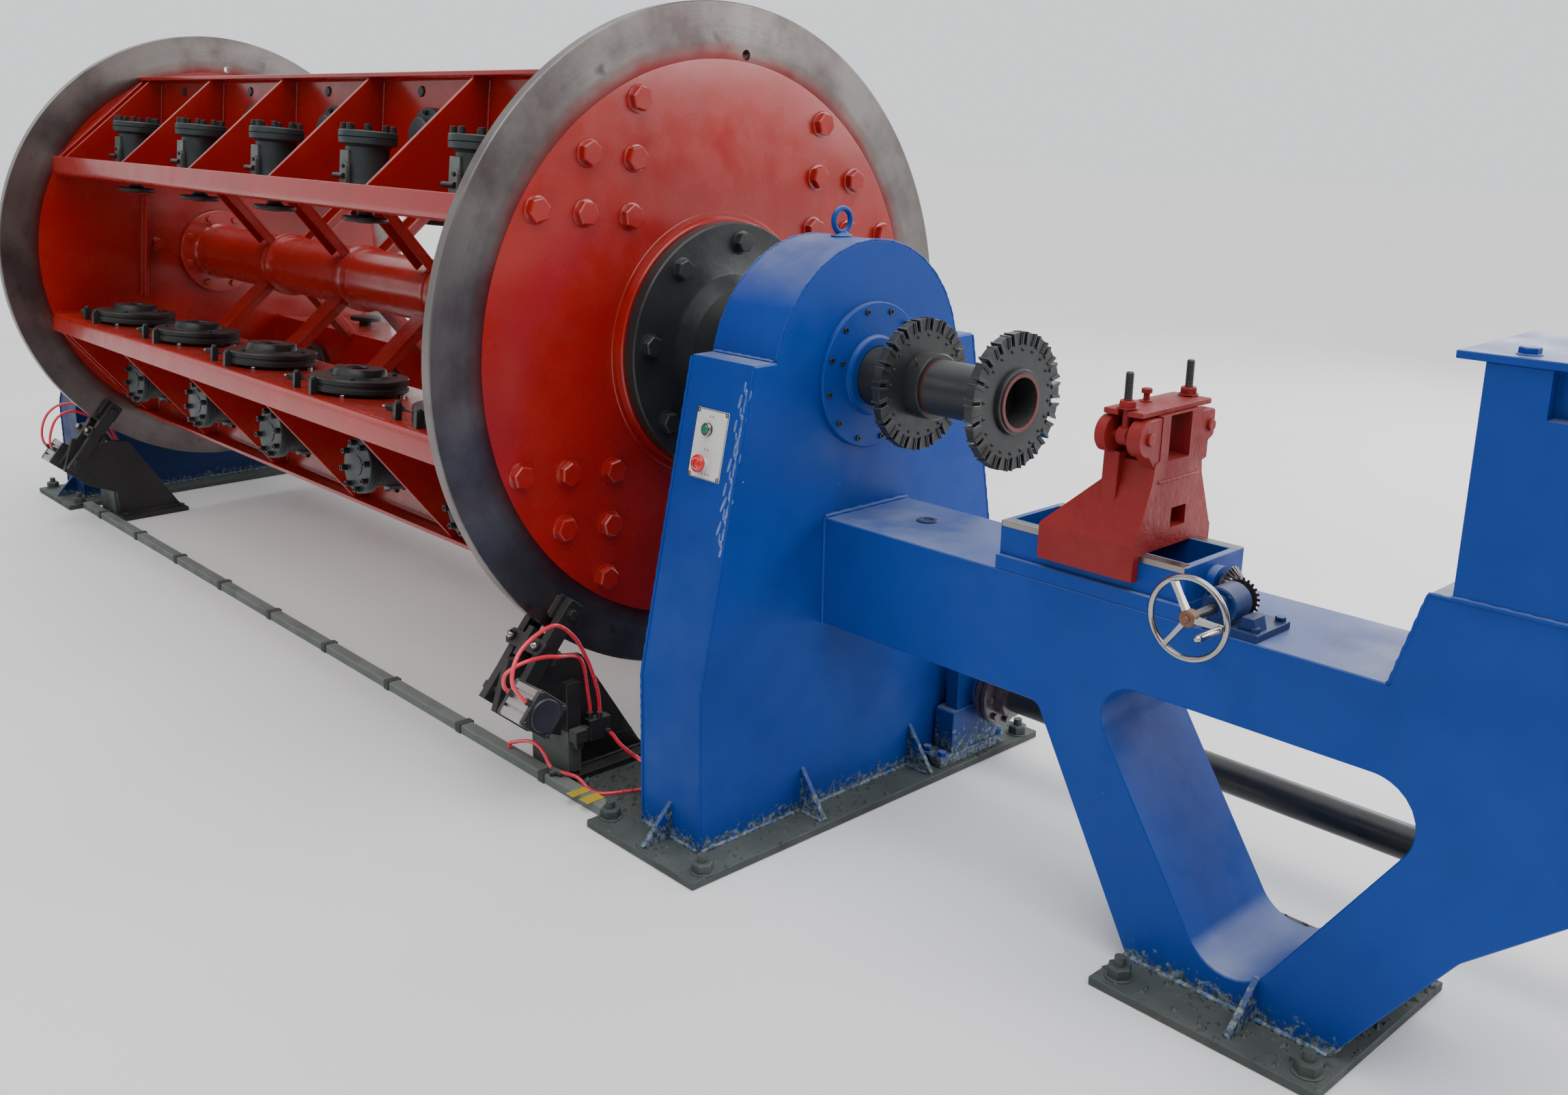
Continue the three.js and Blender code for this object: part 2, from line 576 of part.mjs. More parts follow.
// -- line shaft and its bearing block --
add('line_shaft', join(
  rod(turnX, -3990, 2440, SHAFT_R, 16, SHAFT_Y, SHAFT_Z),
  turnX([[668, 0], [668, 92], [708, 92], [708, 0]], 20, SHAFT_Y, SHAFT_Z),
  turnX([[1050, 0], [1050, 70], [1080, 70], [1080, 0]], 14, SHAFT_Y, SHAFT_Z)), 'black');
add('bearing_block', cut(
  join(
    box(577, 655, 250, 520, PLATE_TOP + GAP, -968), rod(turnX, 585, 650, 68, 18, SHAFT_Y, SHAFT_Z),
    box(590, 645, 384, 516, -980, SHAFT_Z), box(600, 642, 322, 384, -975, -800)),
  rod(turnX, 570, 660, SHAFT_R + 1.3, 16, SHAFT_Y, SHAFT_Z),
  box(620, 700, 318, 600, -1130, -1109)), 'blue');

// -- floor duct --
add('floor_duct', box(-3597, 257, -596, -554, FLOOR, FLOOR + 26), 'floorGreen');

// -- rim brakes, drawn with +Y outwards along the radius and +Z round the rim, then turned --
const PIVOT_R = 958;
const FOOT_R = 1100;

function aroundRim(shape) {
  return shape.rotate([BRAKE_ANGLE, 0, 0]);
}

function brakeArm(side, near) {
  // near: the pad's rubbing face; side: +1 for the arm on the outer face of the disc
  const a = near + side * 22;
  const b = near + side * 48;
  const lo = Math.min(a, b);
  const hi = Math.max(a, b);
  const pad = box(Math.min(near, a) + (side < 0 ? -1 : 0), Math.max(near, a) + (side > 0 ? 1 : 0), 812, 868, -36, 36);
  const bar = box(lo, hi, 806, 1136, -20, 20);
  return cut(join(pad, bar), rod(turnZ, -30, 30, 9.5, 12, (lo + hi) / 2, PIVOT_R));
}

function brake(name, mid, side, postShift) {
  const half = DISC_T / 2 + 1.5;
  const armMid = half + 35;
  const outer = mid + side * armMid;
  const inner = mid - side * armMid;
  // bracket: links and pins, web plate between the arms, leaning leg and foot on the floor
  const links = [-34, 24].map((z) => box(mid - armMid - 26, mid + armMid + 26, PIVOT_R - 22, PIVOT_R + 22, z, z + 10));
  const pins = [outer, inner].map((x) => rod(turnZ, -40, 40, 9, 10, x, PIVOT_R));
  const head = box(mid - 11, mid + 11, 914, 1000, -40, 40);
  const upper = aroundRim(join(links, pins, head));
  const leg = plateX([
    [-467, -790], [-262, FLOOR + 16], [-530, FLOOR + 16], [-538, -1005], [-650, -960], [-745, -880],
    [-700, -745]],
  mid - 11, mid + 11);
  const foot = box(mid - 60, mid + 60, -545, -250, FLOOR, FLOOR + 18);
  const post = box(mid - 130 - postShift, mid + 40 - postShift, -540, -495, FLOOR, -850);
  const rodHole = aroundRim(rod(turnX, mid - 40, mid + 40, 20, 12, FOOT_R, 0));
  add(`${name}_bracket`, cut(join(upper, leg, foot, post), rodHole), 'black');
  // arms
  const armOut = cut(brakeArm(side, mid + side * half), rod(turnX, outer - 30, outer + 30, 13, 12, FOOT_R, 0));
  add(`${name}_arm_outer`, aroundRim(armOut), 'black');
  const reach = outer + side * 40;
  const armIn = join(brakeArm(-side, mid - side * half),
    rod(turnX, Math.min(inner, reach), Math.max(inner, reach), 9, 12, FOOT_R, 0));
  add(`${name}_arm_inner`, aroundRim(armIn), 'black');
  // compact air cylinder on the outer arm
  const c0 = outer + side * (13 + GAP);
  const c1 = outer + side * 125;
  const lo = Math.min(c0, c1);
  const hi = Math.max(c0, c1);
  const body = cut(
    join(box(lo, hi, FOOT_R - 50, FOOT_R + 50, -50, 50),
      rod(turnX, side > 0 ? hi - 1 : lo - 7, side > 0 ? hi + 7 : lo + 1, 44, 20, FOOT_R, 0)),
    rod(turnX, c0 - 40, c0 + 40, 14, 12, FOOT_R, 0));
  add(`${name}_cylinder`, aroundRim(body), 'alloy');
}
brake('front_brake', -DISC_T / 2, 1, 0);
brake('rear_brake', REAR_X - DISC_T / 2, -1, 60);

const REAR_MIRROR = REAR_X - DISC_T;
function valveBlock(mirror) {
  return box(...(mirror ? [REAR_MIRROR - 24, REAR_MIRROR + 6.7] : [-6.7, 24]), -465, -395, -1035, -975);
}
add('front_valve_block', valveBlock(false), 'black');
add('rear_valve_block', valveBlock(true), 'black');

// -- air hoses: swept round tubes --
function hose(name, points) {
  const path = new THREE.CatmullRomCurve3(points.map((p) => new THREE.Vector3(...p)), false, 'centripetal');
  const ring = new THREE.Shape(arc(0, 0, HOSE_R, 0, 315, 7).map(([a, b]) => new THREE.Vector2(a, b)));
  const steps = Math.min(80, Math.round(path.getLength() / (HOSE_R * 5.5)));
  add(name, solid(new THREE.ExtrudeGeometry(ring, { steps, bevelEnabled: false, extrudePath: path })), 'hose');
}
hose('hose_front_a', [
  [147, -742.3, -805.2], [147, -757, -793], [146, -772, -774], [144, -788, -742], [138, -781, -706],
  [126, -752, -672], [108, -690, -648], [88, -617, -645], [64, -543, -701], [46, -491, -778],
  [36, -461, -842], [27, -440, -902], [18, -430, -950], [18, -430, -973.9]]);
hose('hose_front_b', [
  [68, -741.3, -803.5], [68, -753.6, -793.2], [68, -764, -778], [69, -762, -750], [73, -730, -732],
  [77, -690, -725], [77, -640, -728], [76, -600, -738], [60, -560, -750], [42, -520, -768],
  [26, -492, -794], [14, -474, -834], [7, -462, -888], [4, -452, -950], [4, -452, -973.9]]);
hose('hose_feed', [
  [25, -409, -1018], [44, -409, -1020], [80, -414, -1032], [120, -426, -1030], [200, -462, -1008],
  [300, -520, -966], [340, -530, -960], [353.2, -530, -960]]);
hose('hose_floor', [
  [353.2, -420, -1078], [336, -420, -1079], [300, -417, -1094], [250, -415, -1103], [206, -425, -1119],
  [180, -470, -1121.5], [142, -530, -1121.5], [105, -538, -1117], [68, -545, -1098], [36, -566, -1090],
  [8, -578, -1088], [-12, -580, -1076], [-30, -580, -1056], [-58, -579, -1042], [-95, -578, -1042],
  [-140, -577, -1055], [-182, -576, -1074], [-207, -575, -1087], [-208, -575, -1101.1]]);
hose('hose_rear_a', [
  [-3486, -742.3, -805.2], [-3486, -755, -794.5], [-3485, -765, -775], [-3482, -768, -740],
  [-3473, -760, -694], [-3461, -738, -652], [-3446, -702, -623], [-3431, -661, -617], [-3418, -620, -621],
  [-3415, -560, -660], [-3406, -510, -735], [-3391, -480, -810], [-3375, -455, -870], [-3362, -438, -925],
  [-3359, -430, -950], [-3359, -430, -973.9]]);
hose('hose_rear_b', [
  [-3410, -741.3, -803.5], [-3410, -753.6, -793.2], [-3409, -761, -770], [-3407, -756, -735],
  [-3405, -744, -700], [-3404, -729, -674], [-3404, -700, -653], [-3404, -656, -647], [-3404, -615, -663],
  [-3403, -570, -694], [-3398, -530, -745], [-3385, -500, -800], [-3370, -475, -870], [-3354, -462, -920],
  [-3345, -455, -950], [-3345, -455, -973.9]]);

export default group;
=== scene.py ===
import math
from math import cos, pi, radians, sin

import bmesh
import bpy
from mathutils import Matrix, Vector
from mathutils.geometry import tessellate_polygon


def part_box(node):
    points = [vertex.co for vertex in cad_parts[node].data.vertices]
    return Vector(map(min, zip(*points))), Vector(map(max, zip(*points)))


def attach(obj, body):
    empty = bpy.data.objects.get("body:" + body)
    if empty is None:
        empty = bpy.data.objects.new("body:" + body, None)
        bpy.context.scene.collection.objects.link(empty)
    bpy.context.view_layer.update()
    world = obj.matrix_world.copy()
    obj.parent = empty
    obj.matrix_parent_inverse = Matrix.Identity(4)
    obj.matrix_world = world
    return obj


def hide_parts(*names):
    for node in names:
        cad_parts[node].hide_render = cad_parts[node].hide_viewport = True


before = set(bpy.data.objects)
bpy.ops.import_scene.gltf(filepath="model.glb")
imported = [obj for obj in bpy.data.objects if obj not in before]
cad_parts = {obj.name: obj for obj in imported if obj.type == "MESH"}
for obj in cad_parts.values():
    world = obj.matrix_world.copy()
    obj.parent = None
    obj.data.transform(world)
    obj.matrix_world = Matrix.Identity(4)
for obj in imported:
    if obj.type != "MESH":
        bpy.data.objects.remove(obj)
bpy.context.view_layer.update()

# ---------------------------------------------------------------- stations, millimetres in machine axes
# Machine axes: zero on the cage axis at the front disc's outer face; +X downstream, +Z up.
PED_MID, AXIS_Z = 465.0, 1128.0


def span(node, axis):
    """Low and high of a CAD node along one row axis, in machine millimetres."""
    lo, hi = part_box(node)
    shift = (PED_MID, 0.0, -AXIS_Z)[axis]
    return lo[axis] * 1000 + shift, hi[axis] * 1000 + shift


FLOOR = -AXIS_Z
PLATE_TOP = FLOOR + 20
DISC_T, DISC_R, WEB_R = 36.0, 900.0, 753.0
REAR_X = span("rear_disc", 0)[1] - 38.0
PED_X0, PED_X1 = 354.0, 575.6
REAR_PED_X0, REAR_PED_X1 = -3915.0, -3693.0
PED_R, PED_HALF, KNEE_Z, SHOULDER_Y, SHOULDER_Z = 328.0, 551.0, -706.0, 390.0, 64.0
LINE_Y, LINE_Z = 450.0, -925.0
TURN = Matrix.Rotation(radians(-5.8), 4, "X")
TO_ROW = Matrix.Translation((-PED_MID / 1000, 0, AXIS_Z / 1000)) @ Matrix.Scale(0.001, 4)
GUSSETS = [-130 - 616.5 * k for k in range(6)]
CRADLES = [(span(f"pintle_{k}", 0)[0] + span(f"pintle_{k}", 0)[1]) / 2 for k in range(1, 6)]
SPIN_R = 508.0
WHEEL_X, WHEEL_Y = 1633.0, -258.0
SCREW_Y, SCREW_Z = -29.0, -283.0
RIM = Matrix.Rotation(radians(230), 4, "X")


def to_row(p):
    return TO_ROW @ Vector(p)


# ---------------------------------------------------------------- camera
yaw, pitch, roll = radians(138.686), radians(-14.875), radians(0.329)
forward = Vector((cos(yaw) * cos(pitch), sin(yaw) * cos(pitch), sin(pitch)))
right = Vector((sin(yaw), -cos(yaw), 0))
above = right.cross(forward)
cam_x = cos(roll) * right + sin(roll) * above
cam_y = -sin(roll) * right + cos(roll) * above
cam_data = bpy.data.cameras.new("camera")
cam = bpy.data.objects.new("camera", cam_data)
bpy.context.scene.collection.objects.link(cam)
cam.matrix_world = Matrix.Translation((2.51685, -2.62977, 1.77668)) @ Matrix(
    (cam_x, cam_y, -forward)).transposed().to_4x4()
cam_data.sensor_width = 36
cam_data.lens = 33.507
cam_data.shift_x = 0.0454
cam_data.shift_y = -0.0377
cam_data.clip_end = 100
bpy.context.scene.camera = cam


# ---------------------------------------------------------------- materials
class Graph:
    """A material's node tree, with one method for each kind of node that the looks use."""

    def __init__(self, name):
        self.material = bpy.data.materials.new(name)
        self.material.use_nodes = True
        self.tree = self.material.node_tree
        self.tree.nodes.clear()
        self.out = self.node("ShaderNodeOutputMaterial")
        self.shader = self.node("ShaderNodeBsdfPrincipled")
        self.link(self.shader.outputs[0], self.out.inputs[0])
        self.coords = self.node("ShaderNodeTexCoord").outputs["Object"]

    def node(self, kind, **values):
        made = self.tree.nodes.new(kind)
        for key, value in values.items():
            setattr(made, key, value)
        return made

    def link(self, a, b):
        self.tree.links.new(a, b)

    def feed(self, value, socket):
        if hasattr(value, "is_linked"):
            self.link(value, socket)
        else:
            socket.default_value = value

    def noise(self, scale, detail=4.0, rough=0.55, vector=None, stretch=None):
        made = self.node("ShaderNodeTexNoise")
        made.inputs["Scale"].default_value = scale
        made.inputs["Detail"].default_value = detail
        made.inputs["Roughness"].default_value = rough
        source = vector or self.coords
        if stretch:
            mapping = self.node("ShaderNodeMapping")
            mapping.inputs["Scale"].default_value = stretch
            self.link(source, mapping.inputs["Vector"])
            source = mapping.outputs[0]
        self.link(source, made.inputs["Vector"])
        return made.outputs["Fac"]

    def ramp(self, value, low, high, to_low=0.0, to_high=1.0):
        made = self.node("ShaderNodeMapRange")
        self.feed(value, made.inputs["Value"])
        made.inputs["From Min"].default_value = low
        made.inputs["From Max"].default_value = high
        made.inputs["To Min"].default_value = to_low
        made.inputs["To Max"].default_value = to_high
        return made.outputs[0]

    def maths(self, kind, a, b=0.0):
        made = self.node("ShaderNodeMath", operation=kind)
        self.feed(a, made.inputs[0])
        self.feed(b, made.inputs[1])
        return made.outputs[0]

    def mix(self, factor, a, b):
        made = self.node("ShaderNodeMix", data_type="RGBA")
        self.feed(factor, made.inputs[0])
        self.feed(a if hasattr(a, "is_linked") else (*a, 1), made.inputs[6])
        self.feed(b if hasattr(b, "is_linked") else (*b, 1), made.inputs[7])
        return made.outputs[2]

    def axis(self, index, source=None):
        made = self.node("ShaderNodeSeparateXYZ")
        self.link(source or self.coords, made.inputs[0])
        return made.outputs[index]

    def normal(self, index):
        geometry = self.node("ShaderNodeNewGeometry")
        return self.axis(index, geometry.outputs["Normal"])

    def bump(self, height, strength, distance=0.002):
        made = self.node("ShaderNodeBump")
        made.inputs["Strength"].default_value = strength
        made.inputs["Distance"].default_value = distance
        self.link(height, made.inputs["Height"])
        self.link(made.outputs[0], self.shader.inputs["Normal"])


def coating(name, base, second, rough, metal=0.0, coat=0.0, dirt=(0.05, 0.045, 0.04), dirty=0.35,
            dust=0.0, dust_colour=(0.42, 0.40, 0.37), low=0.0, chips=0.0, chip_colour=(0.30, 0.29, 0.28),
            peel=0.12, grain=160.0, stretch=None, shine=0.5, pits=0.0, low_top=0.10):
    """Paint or plain metal: two tones, grime patches, dust on what faces up, scabs near the floor, chips."""
    g = Graph(name)
    tone = g.mix(g.ramp(g.noise(2.2, 3), 0.25, 0.75), base, second)
    patches = g.maths("MULTIPLY", g.ramp(g.noise(7.0, 8, 0.65, stretch=stretch), 0.52, 0.78), dirty)
    tone = g.mix(patches, tone, dirt)
    speckle = g.noise(grain, 3, 0.6)
    if dust:
        upward = g.ramp(g.normal(2), 0.55, 0.95)
        amount = g.maths("MULTIPLY", upward, g.ramp(g.noise(5.5, 7, 0.6), 0.30, 0.62, 0.35 * dust, dust))
        tone = g.mix(amount, tone, dust_colour)
    if low:
        height = g.ramp(g.axis(2), 0.02, low_top, 0.16, -0.16)
        scabs = g.ramp(g.maths("ADD", g.noise(62, 8, 0.8), height), 0.56, 0.60)
        scab_tone = g.mix(g.ramp(g.noise(90, 4), 0.4, 0.6), (0.035, 0.055, 0.055), (0.20, 0.24, 0.25))
        tone = g.mix(g.maths("MULTIPLY", scabs, low), tone, scab_tone)
    if chips:
        spots = g.ramp(g.noise(34, 6, 0.7), 0.74 - 0.06 * chips, 0.76 - 0.06 * chips)
        tone = g.mix(g.maths("MULTIPLY", spots, 0.85), tone, chip_colour)
    g.link(tone, g.shader.inputs["Base Color"])
    g.shader.inputs["Metallic"].default_value = metal
    variation = g.ramp(g.noise(11, 6), 0.3, 0.7, rough * 0.75, min(1.0, rough * 1.35))
    g.link(g.maths("ADD", variation, g.maths("MULTIPLY", patches, 0.35)), g.shader.inputs["Roughness"])
    g.shader.inputs["Specular IOR Level"].default_value = shine
    g.shader.inputs["Coat Weight"].default_value = coat
    g.shader.inputs["Coat Roughness"].default_value = 0.12
    if peel:
        wavy = g.maths("ADD", g.noise(26, 2), g.maths("MULTIPLY", speckle, 0.25))
        if pits:
            wavy = g.maths("ADD", wavy, g.maths("MULTIPLY", g.noise(70, 5, 0.7), pits))
        g.bump(wavy, peel, 0.004)
    return g.material


def turned_steel(name, base, dark, rough, smudges):
    """Bare steel turned about the cage axis: fine rings, handling smudges and a warm rust film."""
    g = Graph(name)
    shifted = g.node("ShaderNodeVectorMath", operation="SUBTRACT")
    g.link(g.coords, shifted.inputs[0])
    shifted.inputs[1].default_value = (0, 0, AXIS_Z / 1000)
    flat = g.node("ShaderNodeVectorMath", operation="MULTIPLY")
    g.link(shifted.outputs[0], flat.inputs[0])
    flat.inputs[1].default_value = (0, 1, 1)
    length = g.node("ShaderNodeVectorMath", operation="LENGTH")
    g.link(flat.outputs[0], length.inputs[0])
    combined = g.node("ShaderNodeCombineXYZ")
    g.link(length.outputs["Value"], combined.inputs[0])
    rings = g.noise(420, 3, 0.6, vector=combined.outputs[0])
    broad = g.noise(30, 3, 0.6, vector=combined.outputs[0])
    tone = g.mix(g.ramp(broad, 0.3, 0.7), base, tuple(c * 0.72 for c in base))
    tone = g.mix(g.maths("MULTIPLY", g.ramp(g.noise(3.2, 6, 0.6), 0.46, 0.68), smudges), tone, dark)
    spots = g.ramp(g.noise(9, 4, 0.5), 0.66, 0.74)
    tone = g.mix(g.maths("MULTIPLY", spots, 0.6), tone, tuple(c * 0.35 for c in dark))
    wander = g.maths("MULTIPLY", g.noise(6, 4), 0.05)
    spray = g.ramp(g.maths("ADD", length.outputs["Value"], wander), 0.778, 0.822, 0.85, 0.0)
    tone = g.mix(spray, tone, (0.17, 0.008, 0.008))
    g.link(tone, g.shader.inputs["Base Color"])
    g.shader.inputs["Metallic"].default_value = 0.85
    g.link(g.ramp(g.noise(4, 5), 0.3, 0.7, rough * 0.8, rough * 1.3), g.shader.inputs["Roughness"])
    g.bump(rings, 0.25, 0.0006)
    return g.material


M = {
    "cage_red": coating("cage_red", (0.37, 0.012, 0.007), (0.27, 0.007, 0.005), 0.25, coat=0.25,
                        dirty=0.20, dirt=(0.10, 0.006, 0.006), dust=0.10,
                        dust_colour=(0.46, 0.13, 0.09), chips=0.05, peel=0.04),
    "tube_red": coating("tube_red", (0.46, 0.020, 0.012), (0.38, 0.014, 0.010), 0.24, coat=0.4, dirty=0.15,
                        dirt=(0.14, 0.02, 0.015), dust=0.10, peel=0.04),
    "steel_rim": turned_steel("steel_rim", (0.215, 0.195, 0.185), (0.070, 0.050, 0.050), 0.30, smudges=0.8),
    "black": coating("oiled_black", (0.014, 0.017, 0.018), (0.026, 0.028, 0.029), 0.34, metal=0.1,
                     dirty=0.4, dirt=(0.045, 0.043, 0.040), dust=0.08, chips=0.25, peel=0.2, grain=240,
                     shine=0.4),
    "cast": coating("cast_green_black", (0.026, 0.037, 0.039), (0.018, 0.026, 0.029), 0.40, metal=0.05,
                    dirty=0.35, dirt=(0.012, 0.013, 0.014), dust=0.20, dust_colour=(0.16, 0.18, 0.18),
                    peel=0.3, grain=300),
    "blue": coating("machine_blue", (0.003, 0.050, 0.31), (0.002, 0.034, 0.23), 0.42, dirty=0.20,
                    dirt=(0.003, 0.018, 0.085), dust=0.55, dust_colour=(0.30, 0.34, 0.42), low=0.9,
                    chips=0.12, chip_colour=(0.35, 0.40, 0.48), peel=0.14, shine=0.22),
    "blue_low": coating("machine_blue_low", (0.003, 0.045, 0.26), (0.002, 0.030, 0.18), 0.45, dirty=0.3,
                        dirt=(0.02, 0.03, 0.05), dust=0.5, dust_colour=(0.22, 0.26, 0.28), low=0.95,
                        peel=0.3, shine=0.3, low_top=0.22),
    "runs": coating("paint_runs", (0.05, 0.12, 0.36), (0.14, 0.22, 0.46), 0.14, coat=1.0, dirty=0.1,
                    peel=0.3),
    "dark_blue": coating("dark_blue", (0.003, 0.024, 0.13), (0.003, 0.018, 0.085), 0.42, dirty=0.4,
                         dust=0.18, low=0.6, chips=0.2, peel=0.2, shine=0.22),
    "base": coating("floor_plate", (0.032, 0.045, 0.046), (0.055, 0.062, 0.056), 0.62, dirty=0.6,
                    dirt=(0.012, 0.014, 0.014), dust=0.30, dust_colour=(0.13, 0.15, 0.13), chips=0.6,
                    chip_colour=(0.16, 0.17, 0.14), peel=0.6, grain=120),
    "panel": coating("panel_grey", (0.68, 0.68, 0.66), (0.60, 0.60, 0.59), 0.35, dirty=0.2,
                     dirt=(0.42, 0.42, 0.42), peel=0.04),
    "green": coating("button_green", (0.008, 0.21, 0.10), (0.008, 0.17, 0.08), 0.2, coat=0.5, dirty=0.15,
                     peel=0.03),
    "signal": coating("button_red", (0.62, 0.015, 0.02), (0.52, 0.012, 0.016), 0.25, coat=0.4, dirty=0.2,
                      peel=0.03),
    "oxide": coating("red_oxide", (0.29, 0.009, 0.008), (0.19, 0.007, 0.007), 0.46, dirty=0.5,
                     dirt=(0.060, 0.007, 0.006), dust=0.14, dust_colour=(0.33, 0.08, 0.07), chips=0.45,
                     chip_colour=(0.11, 0.04, 0.03), peel=0.6, shine=0.35, pits=0.8),
    "bright": coating("bright_steel", (0.42, 0.41, 0.39), (0.30, 0.29, 0.27), 0.16, metal=1.0, dirty=0.5,
                      dirt=(0.07, 0.055, 0.045), peel=0.05),
    "rusty": coating("brown_hub", (0.16, 0.075, 0.045), (0.24, 0.12, 0.07), 0.5, metal=0.4, dirty=0.5,
                     peel=0.3),
    "alloy": coating("alloy", (0.50, 0.47, 0.46), (0.38, 0.35, 0.34), 0.32, metal=0.9, dirty=0.5,
                     dirt=(0.10, 0.06, 0.05), peel=0.05, stretch=(1, 6, 6)),
    "plastic": coating("black_plastic", (0.018, 0.020, 0.024), (0.030, 0.032, 0.036), 0.35, dirty=0.3,
                       dirt=(0.10, 0.10, 0.09), dust=0.3, peel=0.1),
    "brake": coating("brake_black", (0.012, 0.012, 0.013), (0.026, 0.024, 0.024), 0.48, metal=0.2, dirty=0.5,
                     dirt=(0.055, 0.050, 0.045), dust=0.30, dust_colour=(0.13, 0.12, 0.11), chips=0.4,
                     chip_colour=(0.25, 0.22, 0.20), peel=0.4),
    "duct": coating("duct", (0.15, 0.17, 0.16), (0.10, 0.12, 0.11), 0.6, dirty=0.6, dirt=(0.03, 0.035, 0.03),
                    dust=0.4, dust_colour=(0.28, 0.31, 0.28), chips=0.6, chip_colour=(0.05, 0.055, 0.05),
                    peel=0.4),
    "hose": coating("hose_red", (0.86, 0.040, 0.075), (0.80, 0.03, 0.06), 0.25, coat=0.4, dirty=0.12,
                    dirt=(0.35, 0.02, 0.03), peel=0.02),
    "way": coating("slideway", (0.30, 0.28, 0.27), (0.16, 0.14, 0.13), 0.22, metal=0.9, dirty=0.75,
                   dirt=(0.06, 0.05, 0.045), peel=0.08, stretch=(0.3, 6, 6)),
    "grease": coating("grease", (0.020, 0.018, 0.020), (0.05, 0.035, 0.045), 0.22, coat=0.5, dirty=0.5,
                      dirt=(0.12, 0.10, 0.10), peel=1.0, grain=90),
    "port": coating("port_block", (0.20, 0.22, 0.21), (0.12, 0.135, 0.13), 0.35, metal=0.5, dirty=0.6,
                    dirt=(0.03, 0.035, 0.035), chips=0.5, chip_colour=(0.02, 0.025, 0.03), peel=0.3),
    "toe": coating("bracket_toe", (0.10, 0.125, 0.115), (0.045, 0.055, 0.052), 0.6, dirty=0.7,
                   dirt=(0.012, 0.014, 0.014), dust=0.3, dust_colour=(0.22, 0.25, 0.22), chips=0.9,
                   chip_colour=(0.28, 0.31, 0.28), peel=0.6, grain=120),
    "lining": coating("brake_lining", (0.055, 0.038, 0.030), (0.030, 0.024, 0.022), 0.7, dirty=0.5, peel=0.5,
                      grain=220),
    "tag": coating("tag_yellow", (0.55, 0.40, 0.04), (0.45, 0.32, 0.03), 0.5, dirty=0.6, peel=0.2),
    "sleeve_red": coating("sleeve_red", (0.20, 0.035, 0.03), (0.10, 0.03, 0.028), 0.4, metal=0.3, dirty=0.6,
                          chips=0.6, chip_colour=(0.03, 0.03, 0.03), peel=0.3),
}


# ---------------------------------------------------------------- shapes
AXES = {
    "X": Matrix(((0, 0, 1, 0), (1, 0, 0, 0), (0, 1, 0, 0), (0, 0, 0, 1))),
    "Y": Matrix(((1, 0, 0, 0), (0, 0, 1, 0), (0, 1, 0, 0), (0, 0, 0, 1))),
    "Z": Matrix.Identity(4),
}


def centred(axis, p=0.0, q=0.0):
    """Local (u, v, along) to machine axes: u, v are the two other axes in X, Y, Z order."""
    return AXES[axis] @ Matrix.Translation((p, q, 0))


def pointing(direction, at, spin=0.0):
    """Local z along the direction, placed at a point."""
    turn = Vector(direction).to_track_quat("Z", "Y").to_matrix().to_4x4()
    return Matrix.Translation(at) @ turn @ Matrix.Rotation(spin, 4, "Z")


def around(count, r, start=0.0):
    """Points (u, v) evenly spaced on a circle about the origin, from the start angle in radians."""
    return [(r * cos(start + 2 * pi * i / count), r * sin(start + 2 * pi * i / count)) for i in range(count)]


def arc(cx, cy, r, start, end, steps):
    """Points on an arc about (cx, cy), angles in degrees."""
    out = []
    for i in range(steps + 1):
        a = radians(start + (end - start) * i / steps)
        out.append((cx + r * cos(a), cy + r * sin(a)))
    return out


def rounded(corners, steps=8):
    """A polygon with rounded corners: corners are (x, y, radius)."""
    out = []
    n = len(corners)
    for i, (x, y, r) in enumerate(corners):
        p = Vector((x, y))
        u = (Vector(corners[i - 1][:2]) - p).normalized()
        v = (Vector(corners[(i + 1) % n][:2]) - p).normalized()
        half = math.acos(max(-1, min(1, u.dot(v)))) / 2
        if r <= 0:
            out.append((x, y))
            continue
        a, b = p + u * (r / math.tan(half)), p + v * (r / math.tan(half))
        centre = p + (u + v).normalized() * (r / sin(half))
        for k in range(steps + 1):
            q = a.lerp(b, k / steps) - centre
            q = centre + q.normalized() * r
            out.append((q.x, q.y))
    return out


def shrunk(loop, inset):
    """The closed loop moved inwards by inset, mitred; outwards when inset is negative."""
    if not inset:
        return loop
    n = len(loop)
    area2 = sum(loop[i][0] * loop[(i + 1) % n][1] - loop[(i + 1) % n][0] * loop[i][1] for i in range(n))
    side = 1 if area2 > 0 else -1
    out = []
    for i in range(n):
        p = Vector(loop[i])
        u, v = (p - Vector(loop[i - 1])), (Vector(loop[(i + 1) % n]) - p)
        if u.length < 1e-6 or v.length < 1e-6:
            out.append(tuple(p))
            continue
        nu, nv = Vector((-u.y, u.x)).normalized() * side, Vector((-v.y, v.x)).normalized() * side
        mitre = (nu + nv) / max(0.35, 1 + nu.dot(nv))
        out.append(tuple(p + mitre * inset))
    return out


TOOL_BEVEL = 1.6


